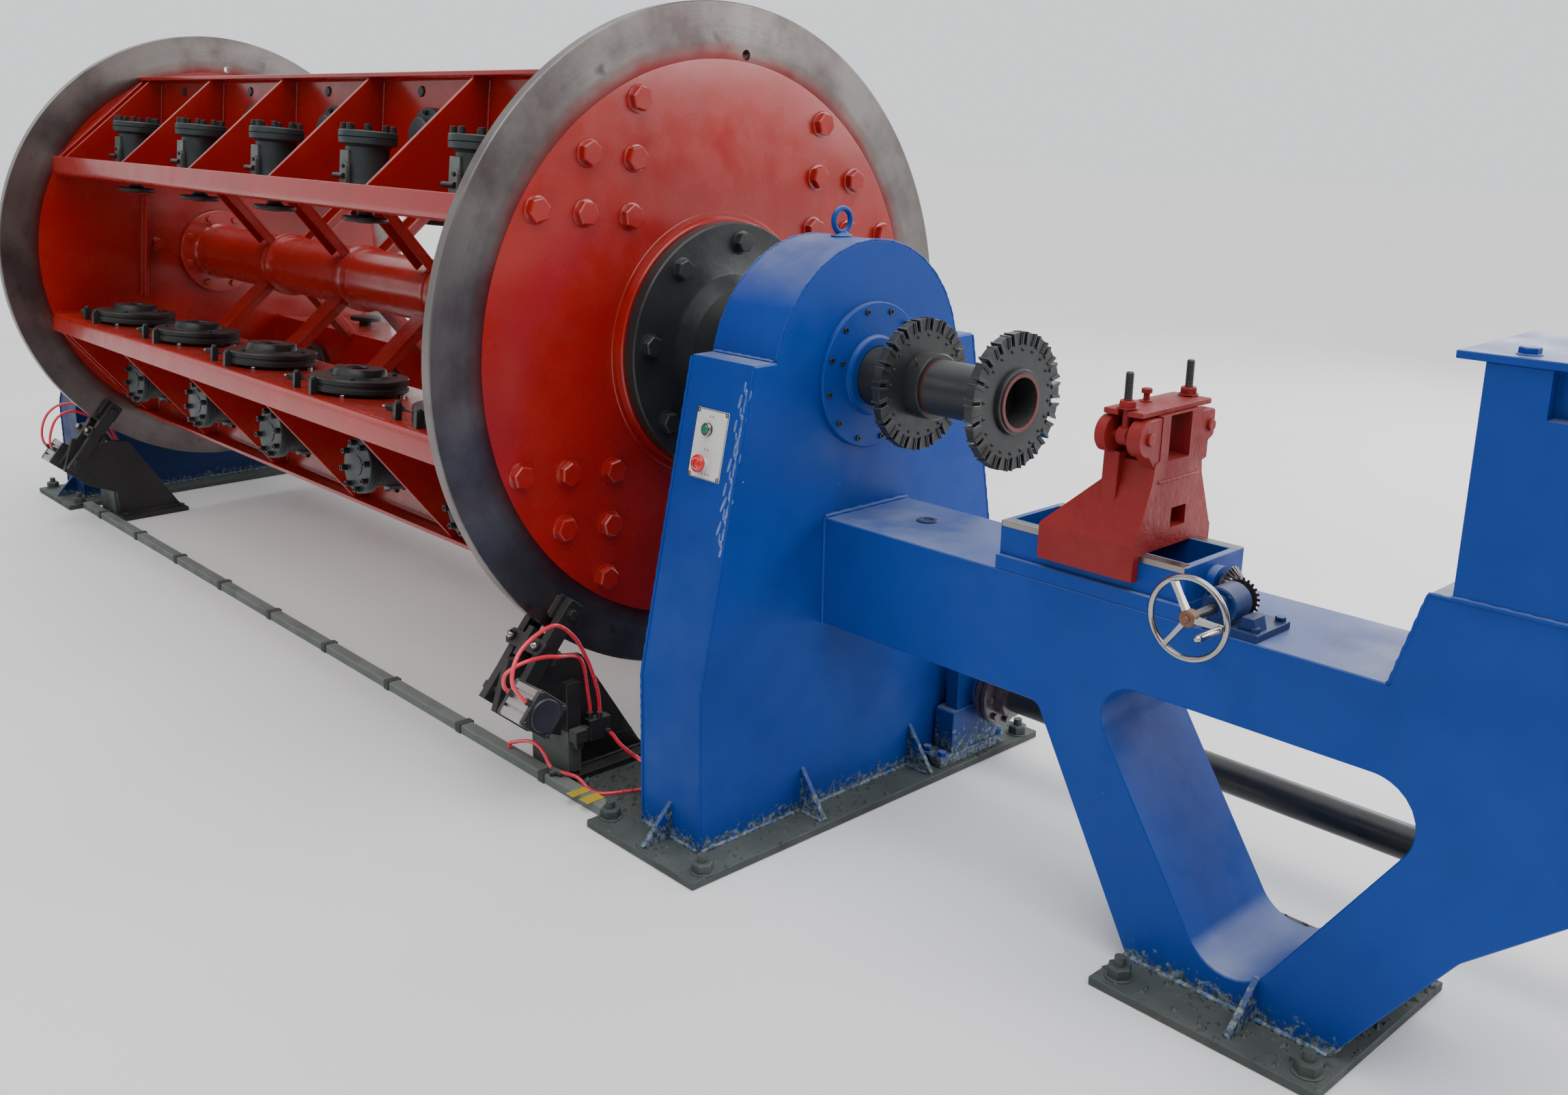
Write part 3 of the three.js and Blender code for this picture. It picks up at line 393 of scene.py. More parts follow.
class Piece:
    """A visual piece collected in machine millimetres, then placed in the row frame on its body."""

    def __init__(self, name, body, material, slot=None, stands_for=(), turned=False, bevel=0, local=None):
        self.name, self.body, self.material = name, body, material
        self.stands_for, self.slot, self.bevel = stands_for, slot, bevel
        self.bm = bmesh.new()
        self.base = (TURN if turned else Matrix.Identity(4)) @ (local or Matrix.Identity(4))

    def put(self, verts, faces, m=None):
        m = m or Matrix.Identity(4)
        made = [self.bm.verts.new(m @ Vector(v)) for v in verts]
        for f in faces:
            self.bm.faces.new([made[i] for i in f])
        return self

    def box(self, x0, x1, y0, y1, z0, z1, m=None):
        """A box with its twelve edges chamfered; x0 and x1 come in either order."""
        x0, x1 = sorted((x0, x1))
        c = min(self.bevel, 0.2 * min(x1 - x0, y1 - y0, z1 - z0))
        if c < 0.3:
            verts = [(x, y, z) for x in (x0, x1) for y in (y0, y1) for z in (z0, z1)]
            faces = [(0, 1, 3, 2), (4, 6, 7, 5), (0, 4, 5, 1), (2, 3, 7, 6), (0, 2, 6, 4), (1, 5, 7, 3)]
            return self.put(verts, faces, m)
        outline = [(x0 + c, y0), (x1 - c, y0), (x1, y0 + c), (x1, y1 - c), (x1 - c, y1), (x0 + c, y1),
                   (x0, y1 - c), (x0, y0 + c)]
        inner = [(min(max(x, x0 + c), x1 - c), min(max(y, y0 + c), y1 - c)) for x, y in outline]
        verts = [(x, y, z) for loop, z in ((inner, z0), (outline, z0 + c), (outline, z1 - c), (inner, z1))
                 for x, y in loop]
        faces = []
        for k in (0, 8, 16):
            faces += [(k + i, k + (i + 1) % 8, k + (i + 1) % 8 + 8, k + i + 8) for i in range(8)]
        before = len(self.bm.verts)
        self.put(verts, faces + [tuple(range(7, -1, -1)), tuple(range(24, 32))], m)
        self.bm.verts.ensure_lookup_table()
        bmesh.ops.remove_doubles(self.bm, verts=self.bm.verts[before:], dist=0.01)
        return self

    def turn(self, profile, m, seg=48, closed=False):
        """profile: (along, radius) pairs, from axis to axis, or closed."""
        verts, rings = [], []
        for h, r in profile:
            if r < 1e-6:
                rings.append([len(verts)])
                verts.append((0, 0, h))
            else:
                rings.append(list(range(len(verts), len(verts) + seg)))
                verts += [(r * cos(2 * pi * i / seg), r * sin(2 * pi * i / seg), h) for i in range(seg)]
        pairs = list(zip(rings, rings[1:])) + ([(rings[-1], rings[0])] if closed else [])
        faces = []
        for a, b in pairs:
            for i in range(seg):
                j = (i + 1) % seg
                if len(a) == 1:
                    faces.append((a[0], b[i], b[j]))
                elif len(b) == 1:
                    faces.append((a[i], a[j], b[0]))
                else:
                    faces.append((a[i], a[j], b[j], b[i]))
        return self.put(verts, faces, m)

    def rod(self, a, b, r, m, seg=24):
        return self.turn([(a, 0), (a, r), (b, r), (b, 0)], m, seg)

    def ring(self, a, b, r0, r1, m, seg=48):
        return self.turn([(a, r0), (a, r1), (b, r1), (b, r0)], m, seg, closed=True)

    def bar(self, p, q, r, seg=10):
        d = Vector(q) - Vector(p)
        return self.rod(0, d.length, r, pointing(d, p), seg)

    def prism(self, outline, a, b, m, holes=()):
        """An outline from a to b along the local axis, with chamfered rims."""
        a, b = min(a, b), max(a, b)
        c = min(self.bevel, 0.2 * (b - a))
        loops = [list(outline)] + [list(h) for h in holes]
        if c < 0.3:
            levels = [(a, 0), (b, 0)]
        else:
            levels = [(a, c), (a + c, 0), (b - c, 0), (b, c)]
        verts = []
        for h, inset in levels:
            for loop in loops:
                verts += [(x, y, h) for x, y in shrunk(loop, inset if loop is loops[0] else -inset)]
        n = sum(len(loop) for loop in loops)
        last = n * (len(levels) - 1)
        if holes:
            flat, start = [], 0
            for loop in loops:
                flat.append([Vector((*verts[start + i][:2], 0)) for i in range(len(loop))])
                start += len(loop)
            tris = [t for t in tessellate_polygon(flat) if len(set(t)) == 3]
            faces = [tuple(t) for t in tris] + [tuple(i + last for i in reversed(t)) for t in tris]
        else:
            faces = [tuple(range(n)), tuple(range(last + n - 1, last - 1, -1))]
        for level in range(len(levels) - 1):
            start = n * level
            for loop in loops:
                k = len(loop)
                faces += [(start + i, start + (i + 1) % k, start + (i + 1) % k + n,
                           start + i + n) for i in range(k)]
                start += k
        return self.put(verts, faces, m)

    def hexhead(self, direction, at, af, height, spin=0.0, washer=True):
        m = pointing(direction, at, spin)
        r = af / math.sqrt(3)
        if washer:
            self.turn([(0, 0), (0, af * 0.66), (af * 0.05, af * 0.66), (af * 0.07, af * 0.62),
                       (af * 0.07, 0)],
                      m, 24)
        base = af * 0.06 if washer else 0
        rings = [(base, r), (height * 0.86, r), (height, r * 0.88)]
        verts = [(rr * cos(pi * i / 3), rr * sin(pi * i / 3), h) for h, rr in rings for i in range(6)]
        faces = [tuple(range(5, -1, -1)), tuple(range(12, 18))]
        for k in (0, 6):
            faces += [(k + i, k + (i + 1) % 6, k + (i + 1) % 6 + 6, k + i + 6) for i in range(6)]
        return self.put(verts, faces, m)

    def socket(self, direction, at, r, height):
        """Socket-head cap screw."""
        return self.turn([(0, 0), (0, r), (height - 0.8, r), (height, r - 0.8), (height, r * 0.55),
                          (height * 0.45, r * 0.5), (height * 0.45, 0)], pointing(direction, at), 14)

    def torus(self, m, big, small, seg=40, ring=10):
        verts = []
        for i in range(seg):
            a = 2 * pi * i / seg
            for j in range(ring):
                b = 2 * pi * j / ring
                verts.append(((big + small * cos(b)) * cos(a), (big + small * cos(b)) * sin(a),
                              small * sin(b)))
        faces = []
        for i in range(seg):
            for j in range(ring):
                i2, j2 = (i + 1) % seg, (j + 1) % ring
                faces.append((i * ring + j, i2 * ring + j, i2 * ring + j2, i * ring + j2))
        return self.put(verts, faces, m)

    def weld(self, p, q, r=4.0):
        """A fillet bead with ripples, laid from p to q."""
        p, q = Vector(p), Vector(q)
        d = q - p
        steps = max(3, min(60, int(d.length / (r * 2.2))))
        profile = [(0, 0), (0, r * 0.8)]
        for i in range(1, steps):
            profile.append((d.length * i / steps, r * (0.86 + 0.16 * ((i * 7) % 3))))
        profile += [(d.length, r * 0.8), (d.length, 0)]
        return self.turn(profile, pointing(d, p), 7)

    def loose(self):
        """The collected shape as a plain object in the row frame."""
        bm = self.bm
        bmesh.ops.recalc_face_normals(bm, faces=bm.faces)
        bm.transform(TO_ROW @ self.base)
        for f in bm.faces:
            f.smooth = self.material is not None
        mesh = bpy.data.meshes.new(self.name)
        bm.to_mesh(mesh)
        bm.free()
        ob = bpy.data.objects.new(self.name, mesh)
        bpy.context.scene.collection.objects.link(ob)
        return ob

    def make(self, cutters=()):
        """The finished piece: cut, given its material, and put on its body."""
        ob = self.loose()
        ob.data.materials.append(self.material)
        if cutters:
            for c in cutters:
                mod = ob.modifiers.new("cut", "BOOLEAN")
                mod.object = c
                mod.solver = "EXACT"
            bpy.context.view_layer.update()
            graph = bpy.context.evaluated_depsgraph_get()
            ob.data = bpy.data.meshes.new_from_object(ob.evaluated_get(graph))
            ob.modifiers.clear()
            for c in cutters:
                bpy.data.objects.remove(c)
        ob.data.set_sharp_from_angle(angle=radians(32))
        if self.stands_for:
            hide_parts(*self.stands_for)
        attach(ob, self.body)


def on_cage(name, material, slot="hub_black", stands_for=(), bevel=0, local=None):
    """A piece on the cage, drawn square to it and turned to its angle at rest."""
    return Piece(name, "cage", material, slot, stands_for, True, bevel, local)


def fixed(name, material, slot, stands_for=(), bevel=0, local=None):
    """A piece on the ground body."""
    return Piece(name, "ground", material, slot, stands_for, False, bevel, local)


def tool(shape, turned=False):
    """A loose object to cut a piece with."""
    piece = Piece("tool", "ground", None, turned=turned, bevel=TOOL_BEVEL)
    shape(piece)
    return piece.loose()


# ---------------------------------------------------------------- air hoses
HOSE_R = 5.5
HOSES = {
    "hose_front_a": [
        (147, -742.3, -805.2), (147, -757, -793), (146, -772, -774), (144, -788, -742), (138, -781, -706),
        (126, -752, -672), (108, -690, -648), (88, -617, -645), (64, -543, -701), (46, -491, -778),
        (36, -461, -842), (27, -440, -902), (18, -430, -950), (18, -430, -973.9)],
    "hose_front_b": [
        (68, -741.3, -803.5), (68, -753.6, -793.2), (68, -764, -778), (69, -762, -750), (73, -730, -732),
        (77, -690, -725), (77, -640, -728), (76, -600, -738), (60, -560, -750), (42, -520, -768),
        (26, -492, -794), (14, -474, -834), (7, -462, -888), (4, -452, -950), (4, -452, -973.9)],
    "hose_feed": [
        (25, -409, -1018), (44, -409, -1020), (80, -414, -1032), (120, -426, -1030), (200, -462, -1008),
        (300, -520, -966), (340, -530, -960), (353.2, -530, -960)],
    "hose_floor": [
        (353.2, -420, -1078), (336, -420, -1079), (300, -417, -1094), (250, -415, -1103),
        (206, -425, -1119), (180, -470, -1121.5), (142, -530, -1121.5), (105, -538, -1117),
        (68, -545, -1098), (36, -566, -1090), (8, -578, -1088), (-12, -580, -1076), (-30, -580, -1056),
        (-58, -579, -1042), (-95, -578, -1042), (-140, -577, -1055), (-182, -576, -1074), (-207, -575, -1087),
        (-208, -575, -1101.1)],
    "hose_rear_a": [
        (-3486, -742.3, -805.2), (-3486, -755, -794.5), (-3485, -765, -775), (-3482, -768, -740),
        (-3473, -760, -694), (-3461, -738, -652), (-3446, -702, -623), (-3431, -661, -617),
        (-3418, -620, -621), (-3415, -560, -660), (-3406, -510, -735), (-3391, -480, -810),
        (-3375, -455, -870), (-3362, -438, -925), (-3359, -430, -950), (-3359, -430, -973.9)],
    "hose_rear_b": [
        (-3410, -741.3, -803.5), (-3410, -753.6, -793.2), (-3409, -761, -770), (-3407, -756, -735),
        (-3405, -744, -700), (-3404, -729, -674), (-3404, -700, -653), (-3404, -656, -647),
        (-3404, -615, -663), (-3403, -570, -694), (-3398, -530, -745), (-3385, -500, -800),
        (-3370, -475, -870), (-3354, -462, -920), (-3345, -455, -950), (-3345, -455, -973.9)],
}


def smooth_path(points, steps=8):
    """Centripetal Catmull-Rom through the points."""
    pts = [Vector(p) for p in points]
    ends = [2 * pts[0] - pts[1]] + pts + [2 * pts[-1] - pts[-2]]
    out = []
    for i in range(len(pts) - 1):
        p0, p1, p2, p3 = ends[i:i + 4]
        d0, d1, d2 = (p1 - p0).length ** 0.5, (p2 - p1).length ** 0.5, (p3 - p2).length ** 0.5
        m1 = ((p1 - p0) / d0 - (p2 - p0) / (d0 + d1) + (p2 - p1) / d1) * d1
        m2 = ((p2 - p1) / d1 - (p3 - p1) / (d1 + d2) + (p3 - p2) / d2) * d1
        for k in range(steps):
            t = k / steps
            out.append(p1 + m1 * t + (-3 * p1 + 3 * p2 - 2 * m1 - m2) * t * t
                       + (2 * p1 - 2 * p2 + m1 + m2) * t ** 3)
    return out + [pts[-1]]


def tube(name, points, radius, material):
    """A round hose along the points, fixed to the ground body; also gives its path in the row frame."""
    path = [to_row(p) for p in points]
    data = bpy.data.curves.new(name, "CURVE")
    data.dimensions = "3D"
    data.bevel_depth = radius / 1000
    data.bevel_resolution = 3
    data.use_fill_caps = True
    spline = data.splines.new("POLY")
    spline.points.add(len(path) - 1)
    for point, p in zip(spline.points, path):
        point.co = (*p, 1)
    spline.use_smooth = True
    ob = bpy.data.objects.new(name, data)
    bpy.context.scene.collection.objects.link(ob)
    data.materials.append(material)
    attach(ob, "ground")
    return ob, path


for hose_name, hose_points in HOSES.items():
    hose, hose_path = tube(hose_name + "_tube", smooth_path(hose_points), HOSE_R, M["hose"])
    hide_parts(hose_name)
    hose_length = sum((b - a).length for a, b in zip(hose_path, hose_path[1:]))
    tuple(hose_path[0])


# ---------------------------------------------------------------- cage discs
def disc(name, face, away):
    """face: the outer face's x; away: +1 where that face looks downstream."""
    def x(v):
        return face + away * v
    m = centred("X")
    hole = tool(lambda p: p.rod(face - 80, face + 80, 14, centred("X", 23, 772), 32), turned=True)
    rim = on_cage(name + "_rim", M["steel_rim"], "cage_red")
    rim.turn([(x(-DISC_T), WEB_R), (x(-DISC_T), DISC_R - 3), (x(3 - DISC_T), DISC_R), (x(-3), DISC_R),
              (x(0), DISC_R - 3), (x(0), WEB_R)], m, 192, closed=True)
    rim.make([hole])
    web = on_cage(name + "_web", M["cage_red"], "cage_red", [name])
    web.turn([(x(-35.4), 92), (x(-35.4), WEB_R), (x(0.5), WEB_R + 1.5), (x(0.9), 751), (x(0.9), 362),
              (x(2.6), 360), (x(2.6), 348), (x(19), 345), (x(22), 341), (x(22), 92)], m, 160, closed=True)
    web.make()
    bolts = on_cage(name + "_bolts", M["cage_red"], "cage_red")
    grid = [330, 476, 622]
    for sy in (-1, 1):
        for sz in (-1, 1):
            for i, j in [(0, 0), (1, 0), (2, 0), (0, 1), (1, 1), (0, 2)]:
                at = (sy * grid[i], sz * grid[j])
                spin = radians(17 * (i + 2 * j) + 31 * sy + 13 * sz)
                bolts.hexhead((away, 0, 0), (x(0.6), *at), 55, 23, spin)
    bolts.make()


disc("front_disc", 0.0, 1)
disc("rear_disc", REAR_X - DISC_T, -1)
stiff = on_cage("rear_disc_stiffener", M["cage_red"], "cage_red", bevel=1.6)
stiff.box(REAR_X - 0.5, REAR_X + 38, -334, -320, -200, 218)
stiff.weld((REAR_X + 1, -334, -200), (REAR_X + 1, -334, 218))
stiff.make()
inner_nuts = on_cage("rear_disc_inner_nuts", M["cage_red"], "cage_red")
for k, (y, z) in enumerate(((-298, 643), (-272, 17), (-456, -451), (298, -643), (272, -17), (456, 451))):
    inner_nuts.hexhead((1, 0, 0), (REAR_X - 0.5, y, z), 46, 24, radians(20 * k))
inner_nuts.make()

# ---------------------------------------------------------------- centre tube
tube_piece = on_cage("centre_tube_body", M["tube_red"], "tube_red", ["centre_tube"])
x_lo, x_hi = span("centre_tube", 0)
outline = [(x_lo, 96), (x_lo, 173), (x_lo + 2, 175), (x_lo + 20, 175), (x_lo + 22, 173), (x_lo + 22, 118),
           (x_lo + 30, 110)]
for x in reversed(GUSSETS[1:5]):
    outline += [(x - 34, 110), (x - 31, 116), (x - 28, 122), (x - 8, 123), (x - 5, 118), (x + 5, 118),
                (x + 8, 123), (x + 28, 122), (x + 31, 116), (x + 34, 110)]
outline += [(x_hi - 30, 110), (x_hi - 22, 118), (x_hi - 22, 173), (x_hi - 20, 175), (x_hi, 175), (x_hi, 96)]
tube_piece.turn(outline, centred("X"), 72, closed=True)
for x, away in ((x_lo + 22, 1), (x_hi - 22, -1)):
    for y, z in around(8, 148, 0.39):
        tube_piece.hexhead((away, 0, 0), (x, y, z), 24, 13)
tube_piece.make()

# ---------------------------------------------------------------- corner columns
IN, T, OUT, FOLD = 278.0, 14.0, 697.0, 74.0


def flip(points):
    return [(-a, b) for a, b in points]


def column_plates(name, turn, x0, x1):
    """Two plates with folded edges, gussets, end plates and the braces to the centre tube."""
    plates = on_cage(name + "_frame", M["cage_red"], "cage_red", [name], bevel=2.0, local=turn)
    ax = centred("X")
    plates.prism(flip(rounded([
        (IN, IN, 0), (OUT, IN, 22), (OUT, IN + FOLD, 3), (OUT - T, IN + FOLD, 3), (OUT - T, IN + T, 9),
        (IN + T, IN + T, 0), (IN + T, OUT - T, 9), (IN + FOLD, OUT - T, 3), (IN + FOLD, OUT, 3),
        (IN, OUT, 22)], 5)), x0, x1, ax)
    gusset = flip([(IN + T - 2, IN + T - 2), (OUT - T + 1, IN + T - 2), (OUT - T + 1, IN + FOLD - 8),
                   (IN + FOLD - 8, OUT - T + 1), (IN + T - 2, OUT - T + 1)])
    for a, b in [(x - 6, x + 6) for x in GUSSETS] + [(x0, x0 + 24), (x1 - 24, x1)]:
        plates.prism(gusset, a, b, ax)
    brace_half = 139
    for x in GUSSETS[1:5]:
        brace = (Matrix.Translation((x - 36, 0, 0)) @ Matrix.Rotation(radians(135), 4, "X")
                 @ Matrix.Translation((0, 122 + brace_half, 0)))
        for a, b, low, high in ((-48, 48, -18, -9), (-48, -39, -10, 18), (39, 48, -10, 18)):
            plates.box(a, b, -brace_half, brace_half, low, high, brace)
    plates.make()


def column_welds(name, turn, x0, x1):
    beads = on_cage(name + "_welds", M["cage_red"], "cage_red", local=turn)
    corner, far = IN + T, OUT - T - 6
    for x in GUSSETS:
        for s in (-7, 7):
            beads.weld((x + s, -corner, corner + 2), (x + s, -far, corner + 2), 4.5)
            beads.weld((x + s, -corner - 2, corner), (x + s, -corner - 2, far), 4.5)
    beads.weld((x0 + 26, -corner - 1, corner + 1), (x1 - 26, -corner - 1, corner + 1), 5)
    for x in (x0 + 3, x1 - 3):
        beads.weld((x, -IN, IN - 1), (x, -OUT + 20, IN - 1), 5)
        beads.weld((x, -IN + 1, IN), (x, -IN + 1, OUT - 20), 5)
    for x in GUSSETS[1:5]:
        for s in (-84, 12):
            beads.weld((x + s, -IN + 22, IN - 3), (x + s, -IN + 2, IN - 22), 4.5)
    beads.make()


def pintle_cylinder(cyl, small, light, x, with_pintle):
    """Air cylinder outside the horizontal plate, its cap screws, port block and cross pin."""
    up = centred("Z", x, -SPIN_R)
    cyl.turn([(292, 30), (292, 84), (304, 86), (308, 84), (310, 66), (322, 61), (440, 64), (458, 66),
              (464, 72), (468, 86), (484, 87.5), (486, 84), (488, 87.5), (503, 87), (506, 84), (506, 30)],
              up, 40, closed=True)
    cyl.turn([(486, 0), (486, 31), (508, 31), (508, 0)], up, 20)
    for u, v in around(8, 73, 0.25):
        small.socket((0, 0, 1), (x + u, -SPIN_R + v, 505), 9.5, 20)
    for u, v in around(4, 74, 0.8):
        small.bar((x + u, -SPIN_R + v, 308), (x + u, -SPIN_R + v, 320), 9)
    light.box(x - 40, x + 12, -SPIN_R - 70, -SPIN_R - 40, 312, 446)
    light.prism(arc(x + 6, 398, 13, 0, 180, 8) + arc(x + 6, 344, 13, 180, 360, 8), -SPIN_R - 80, -SPIN_R - 68,
                centred("Y"))
    for z in (400, 342):
        small.bar((x + 6, -SPIN_R - 79, z), (x + 6, -SPIN_R - 86, z), 6, 12)
    small.bar((x - 44, -SPIN_R - 84, 371), (x + 16, -SPIN_R - 84, 371), 8.5, 12)
    small.bar((x - 34, -SPIN_R - 66, 330), (x - 34, -SPIN_R - 84, 330), 6, 10)
    if with_pintle:
        small.turn([(236, 0), (236, 60), (240, 68), (254, 68), (256, 66), (256, 28), (290, 28), (290, 0)],
                   up, 32)


def spindle_housing(cyl, small, x):
    """Housing outside the vertical plate, with its screws and grease elbow."""
    side = centred("Y", x, SPIN_R)
    cyl.turn([(-345, 0), (-345, 52), (-341, 56), (-316, 56), (-314, 86), (-312, 88), (-293, 88), (-290, 84),
              (-290, 0)], side, 40)
    cyl.box(x + 40, x + 78, -332, -292, SPIN_R - 96, SPIN_R - 52)
    for u, v in around(6, 72, 0.5):
        small.socket((0, -1, 0), (x + u, -313, SPIN_R + v), 8, 12)
    small.turn([(-350, 0), (-350, 17), (-344, 19), (-344, 0)], side, 20)
    small.bar((x + 60, -330, SPIN_R - 96), (x + 60, -330, SPIN_R - 132), 9, 12)
    small.bar((x + 60, -330, SPIN_R - 128), (x + 34, -330, SPIN_R - 140), 7, 10)


def band_brake(small, x, with_disc):
    """Spindle foot inside the vertical plate, brake posts, spring, and the disc where it does not turn."""
    side = centred("Y", x, SPIN_R)
    small.ring(-278.5, -271, 34, 96, side, 32)
    for px, pz in ((x - 128, 652), (x + 12, 668)):
        small.box(px - 8, px + 8, -279, -232, pz - 10, pz + 10)
        small.hexhead((0, 1, 0), (px, -232, pz), 15, 8, washer=False)
        small.bar((px, -248, pz - 8), (px, -248, pz - 20), 7, 10)
    small.bar((x - 128, -248, 640), (x - 60, -248, 640), 3, 8)
    for i in range(6):
        small.torus(pointing((1, 0, 0), (x - 142 - 7 * i, -250, 652)), 8, 2.2, 12, 6)
    small.bar((x - 196, -250, 652), (x - 136, -250, 652), 4.5, 8)
    small.bar((x - 158, -268, 492), (x - 158, -222, 492), 10, 12)
    small.hexhead((0, 1, 0), (x - 158, -222, 492), 22, 10, washer=False)
    if with_disc:
        small.turn([(-270, 26), (-270, 148), (-266, 150), (-254, 150), (-251, 146), (-243, 146), (-240, 150),
                    (-229, 150), (-226, 147), (-226, 90), (-222, 84), (-205, 80), (-201, 76), (-201, 26)],
                   side, 48, closed=True)
        small.rod(-290, -204, 25, side, 20)


def column(name, quarter):
    """One corner column with its ten cradle halves; the quarter turns place it about the cage axis."""
    turn = Matrix.Rotation(radians(90 * quarter), 4, "X")
    x0, x1 = span(name, 0)
    column_plates(name, turn, x0, x1)
    column_welds(name, turn, x0, x1)
    cyl = on_cage(name + "_cylinders", M["cast"], local=turn)
    small = on_cage(name + "_fittings", M["black"], local=turn)
    light = on_cage(name + "_ports", M["port"], bevel=1.5, local=turn)
    for x in CRADLES:
        pintle_cylinder(cyl, small, light, x, with_pintle=quarter != 0)
        spindle_housing(cyl, small, x)
        band_brake(small, x, with_disc=quarter != 1)
        plug = -IN - T
        small.turn([(plug - 5, 0), (plug - 5, 15), (plug - 3, 17), (plug + 1, 17), (plug + 1, 0)],
                   centred("Y", x - 72, 645), 24)
    cyl.make()
    small.make()
    light.make()
    feet = on_cage(name + "_bright_bits", M["bright"], local=turn)
    for x in CRADLES:
        for s in (-1, 1):
            feet.hexhead((0, 1, 0), (x + s * 95, -278, SPIN_R + 106), 17, 9, washer=False)
            feet.hexhead((0, 1, 0), (x + s * 112, -278, SPIN_R - 84), 18, 9, washer=False)
        feet.turn([(0, 0), (0, 5), (12, 6), (16, 4), (18, 0)], pointing((-1, 0, 0), (x - 192, -250, 652)), 12)
    feet.make()


for quarter, column_name in enumerate(
        ["column_near_upper", "column_near_lower", "column_far_lower", "column_far_upper"]):
    column(column_name, quarter)

near_bay = Matrix.Rotation(radians(90), 4, "X")
for k, x in enumerate(CRADLES):
    body = f"bobbin_brake_{k + 1}"
    plate = Piece(f"brake_disc_{k + 1}_body", body, M["black"], "hub_black", [f"brake_disc_{k + 1}"],
                  turned=True, local=near_bay)
    side = centred("Y", x, SPIN_R)
    plate.turn([(-268, 25), (-268, 147), (-265, 150), (-253, 150), (-250, 146), (-244, 146), (-241, 150),
                (-229, 150), (-226, 147), (-226, 90), (-222, 84), (-206, 80), (-201, 76), (-201, 40),
                (-204, 38), (-204, 25)], side, 96, closed=True)
    plate.make()
    marks = Piece(f"brake_disc_{k + 1}_screws", body, M["cast"], "hub_black", turned=True, local=near_bay)
    for u, v in around(3, 112, 0.7 * k):
        marks.socket((0, 1, 0), (x + u, -226.5, SPIN_R + v), 8, 7)
    marks.make()
    pin = Piece(f"pintle_{k + 1}_body", f"bobbin_pintle_{k + 1}", M["black"], "hub_black",
                [f"pintle_{k + 1}"], turned=True)
    pin.turn([(236, 0), (236, 22), (239, 26), (239, 58), (242, 66), (245, 68), (252, 68), (256, 64),
              (256, 30), (262, 26), (420, 26), (420, 0)], centred("Z", x, -SPIN_R), 48)
    pin.make()

# ---------------------------------------------------------------- shafts and lay plates
hub = on_cage("front_shaft_body", M["black"], stands_for=["front_shaft"])
hub.turn([(22.3, 40), (22.3, 334), (24.3, 336), (56, 336), (60, 332), (60, 205), (64, 196), (90, 160),
          (246, 150), (262, 76), (264, 72), (708, 72), (722, 66), (1029, 66), (1031, 64), (1031, 58.5),
          (1029, 57.5), (965, 57), (962, 40)], centred("X"), 96, closed=True)
hub.make()
nuts = Piece("front_hub_bolts", "cage", M["black"], "hub_black")
for i, (y, z) in enumerate(around(8, 284, radians(83))):
    nuts.hexhead((1, 0, 0), (60, y, z), 48, 25, radians(20 * i))
nuts.make()
end_ring = on_cage("front_sleeve_end", M["sleeve_red"])
end_ring.ring(1014, 1032.5, 57.6, 66.5, centred("X"), 64)
end_ring.ring(792, 797, 60, 66.8, centred("X"), 64)
end_ring.make()
tail = on_cage("rear_shaft_body", M["black"], stands_for=["rear_shaft"])
rx = REAR_X - DISC_T - 22.3
tail.turn([(rx, 0), (rx, 336), (rx - 35, 336), (rx - 38, 333), (rx - 38, 196), (rx - 66, 160),
           (rx - 262, 135), (rx - 278, 76), (rx - 280, 72), (rx - 597, 72), (rx - 600, 69), (rx - 600, 0)],
           centred("X"), 72)
for i, (y, z) in enumerate(around(8, 284, radians(83))):
    tail.hexhead((-1, 0, 0), (rx - 38, y, z), 48, 25, radians(20 * i))
tail.make()


def lay_plate(name, x0, x1, boss_to, boss_r):
    """A slotted disc with its boss, and two guide blades with bright edges and a screw at each slot."""
    slots, root, rim, bore = 20, 131, 157, 65
    plate = on_cage(name + "_body", M["black"], stands_for=[name], bevel=1.0)
    guides = on_cage(name + "_guides", M["plastic"])
    edges = on_cage(name + "_guide_edges", M["bright"])
    outline = []
    for i in range(slots):
        a = 18.0 * i
        outline += arc(0, 0, root, a - 1.9, a + 1.9, 2) + arc(0, 0, rim, a + 2.0, a + 16.0, 4)
        at_slot = Matrix.Rotation(radians(a), 4, "X")
        for s in (-1, 1):
            guides.box(x0 - 3, x1 + 4, 130, 158, s * 7.5 - 1.8, s * 7.5 + 1.8, at_slot)
            guides.box(x1 - 1, x1 + 2.6, 128, 157, s * 11 - 2.4, s * 11 + 2.4, at_slot)
            edges.box(x0 + 1, x1 + 1, root, 152, s * 5.3 - 0.6, s * 5.3 + 0.6, at_slot)
        guides.socket((1, 0, 0), at_slot @ Vector((x1 - 1, 118, 0)), 3.6, 4)
    plate.prism(outline, x0, x1, centred("X"), [arc(0, 0, bore, 0, 354, 59)])
    boss = [(x1 - 1, bore), (x1 - 1, boss_r), (boss_to - 2, boss_r), (boss_to, boss_r - 2), (boss_to, bore)]
    plate.turn(boss, centred("X"), 64, closed=True)
    plate.make()
    guides.make()
    edges.make()


lay_plate("lay_plate_1", 725, 747, 792, 79)
lay_plate("lay_plate_2", 997, 1019, 1029, 76)
on_cage("lay_plate_grease_nipple", M["bright"]).bar((772, -60, 52), (772, -74, 64), 3.5, 10).make()


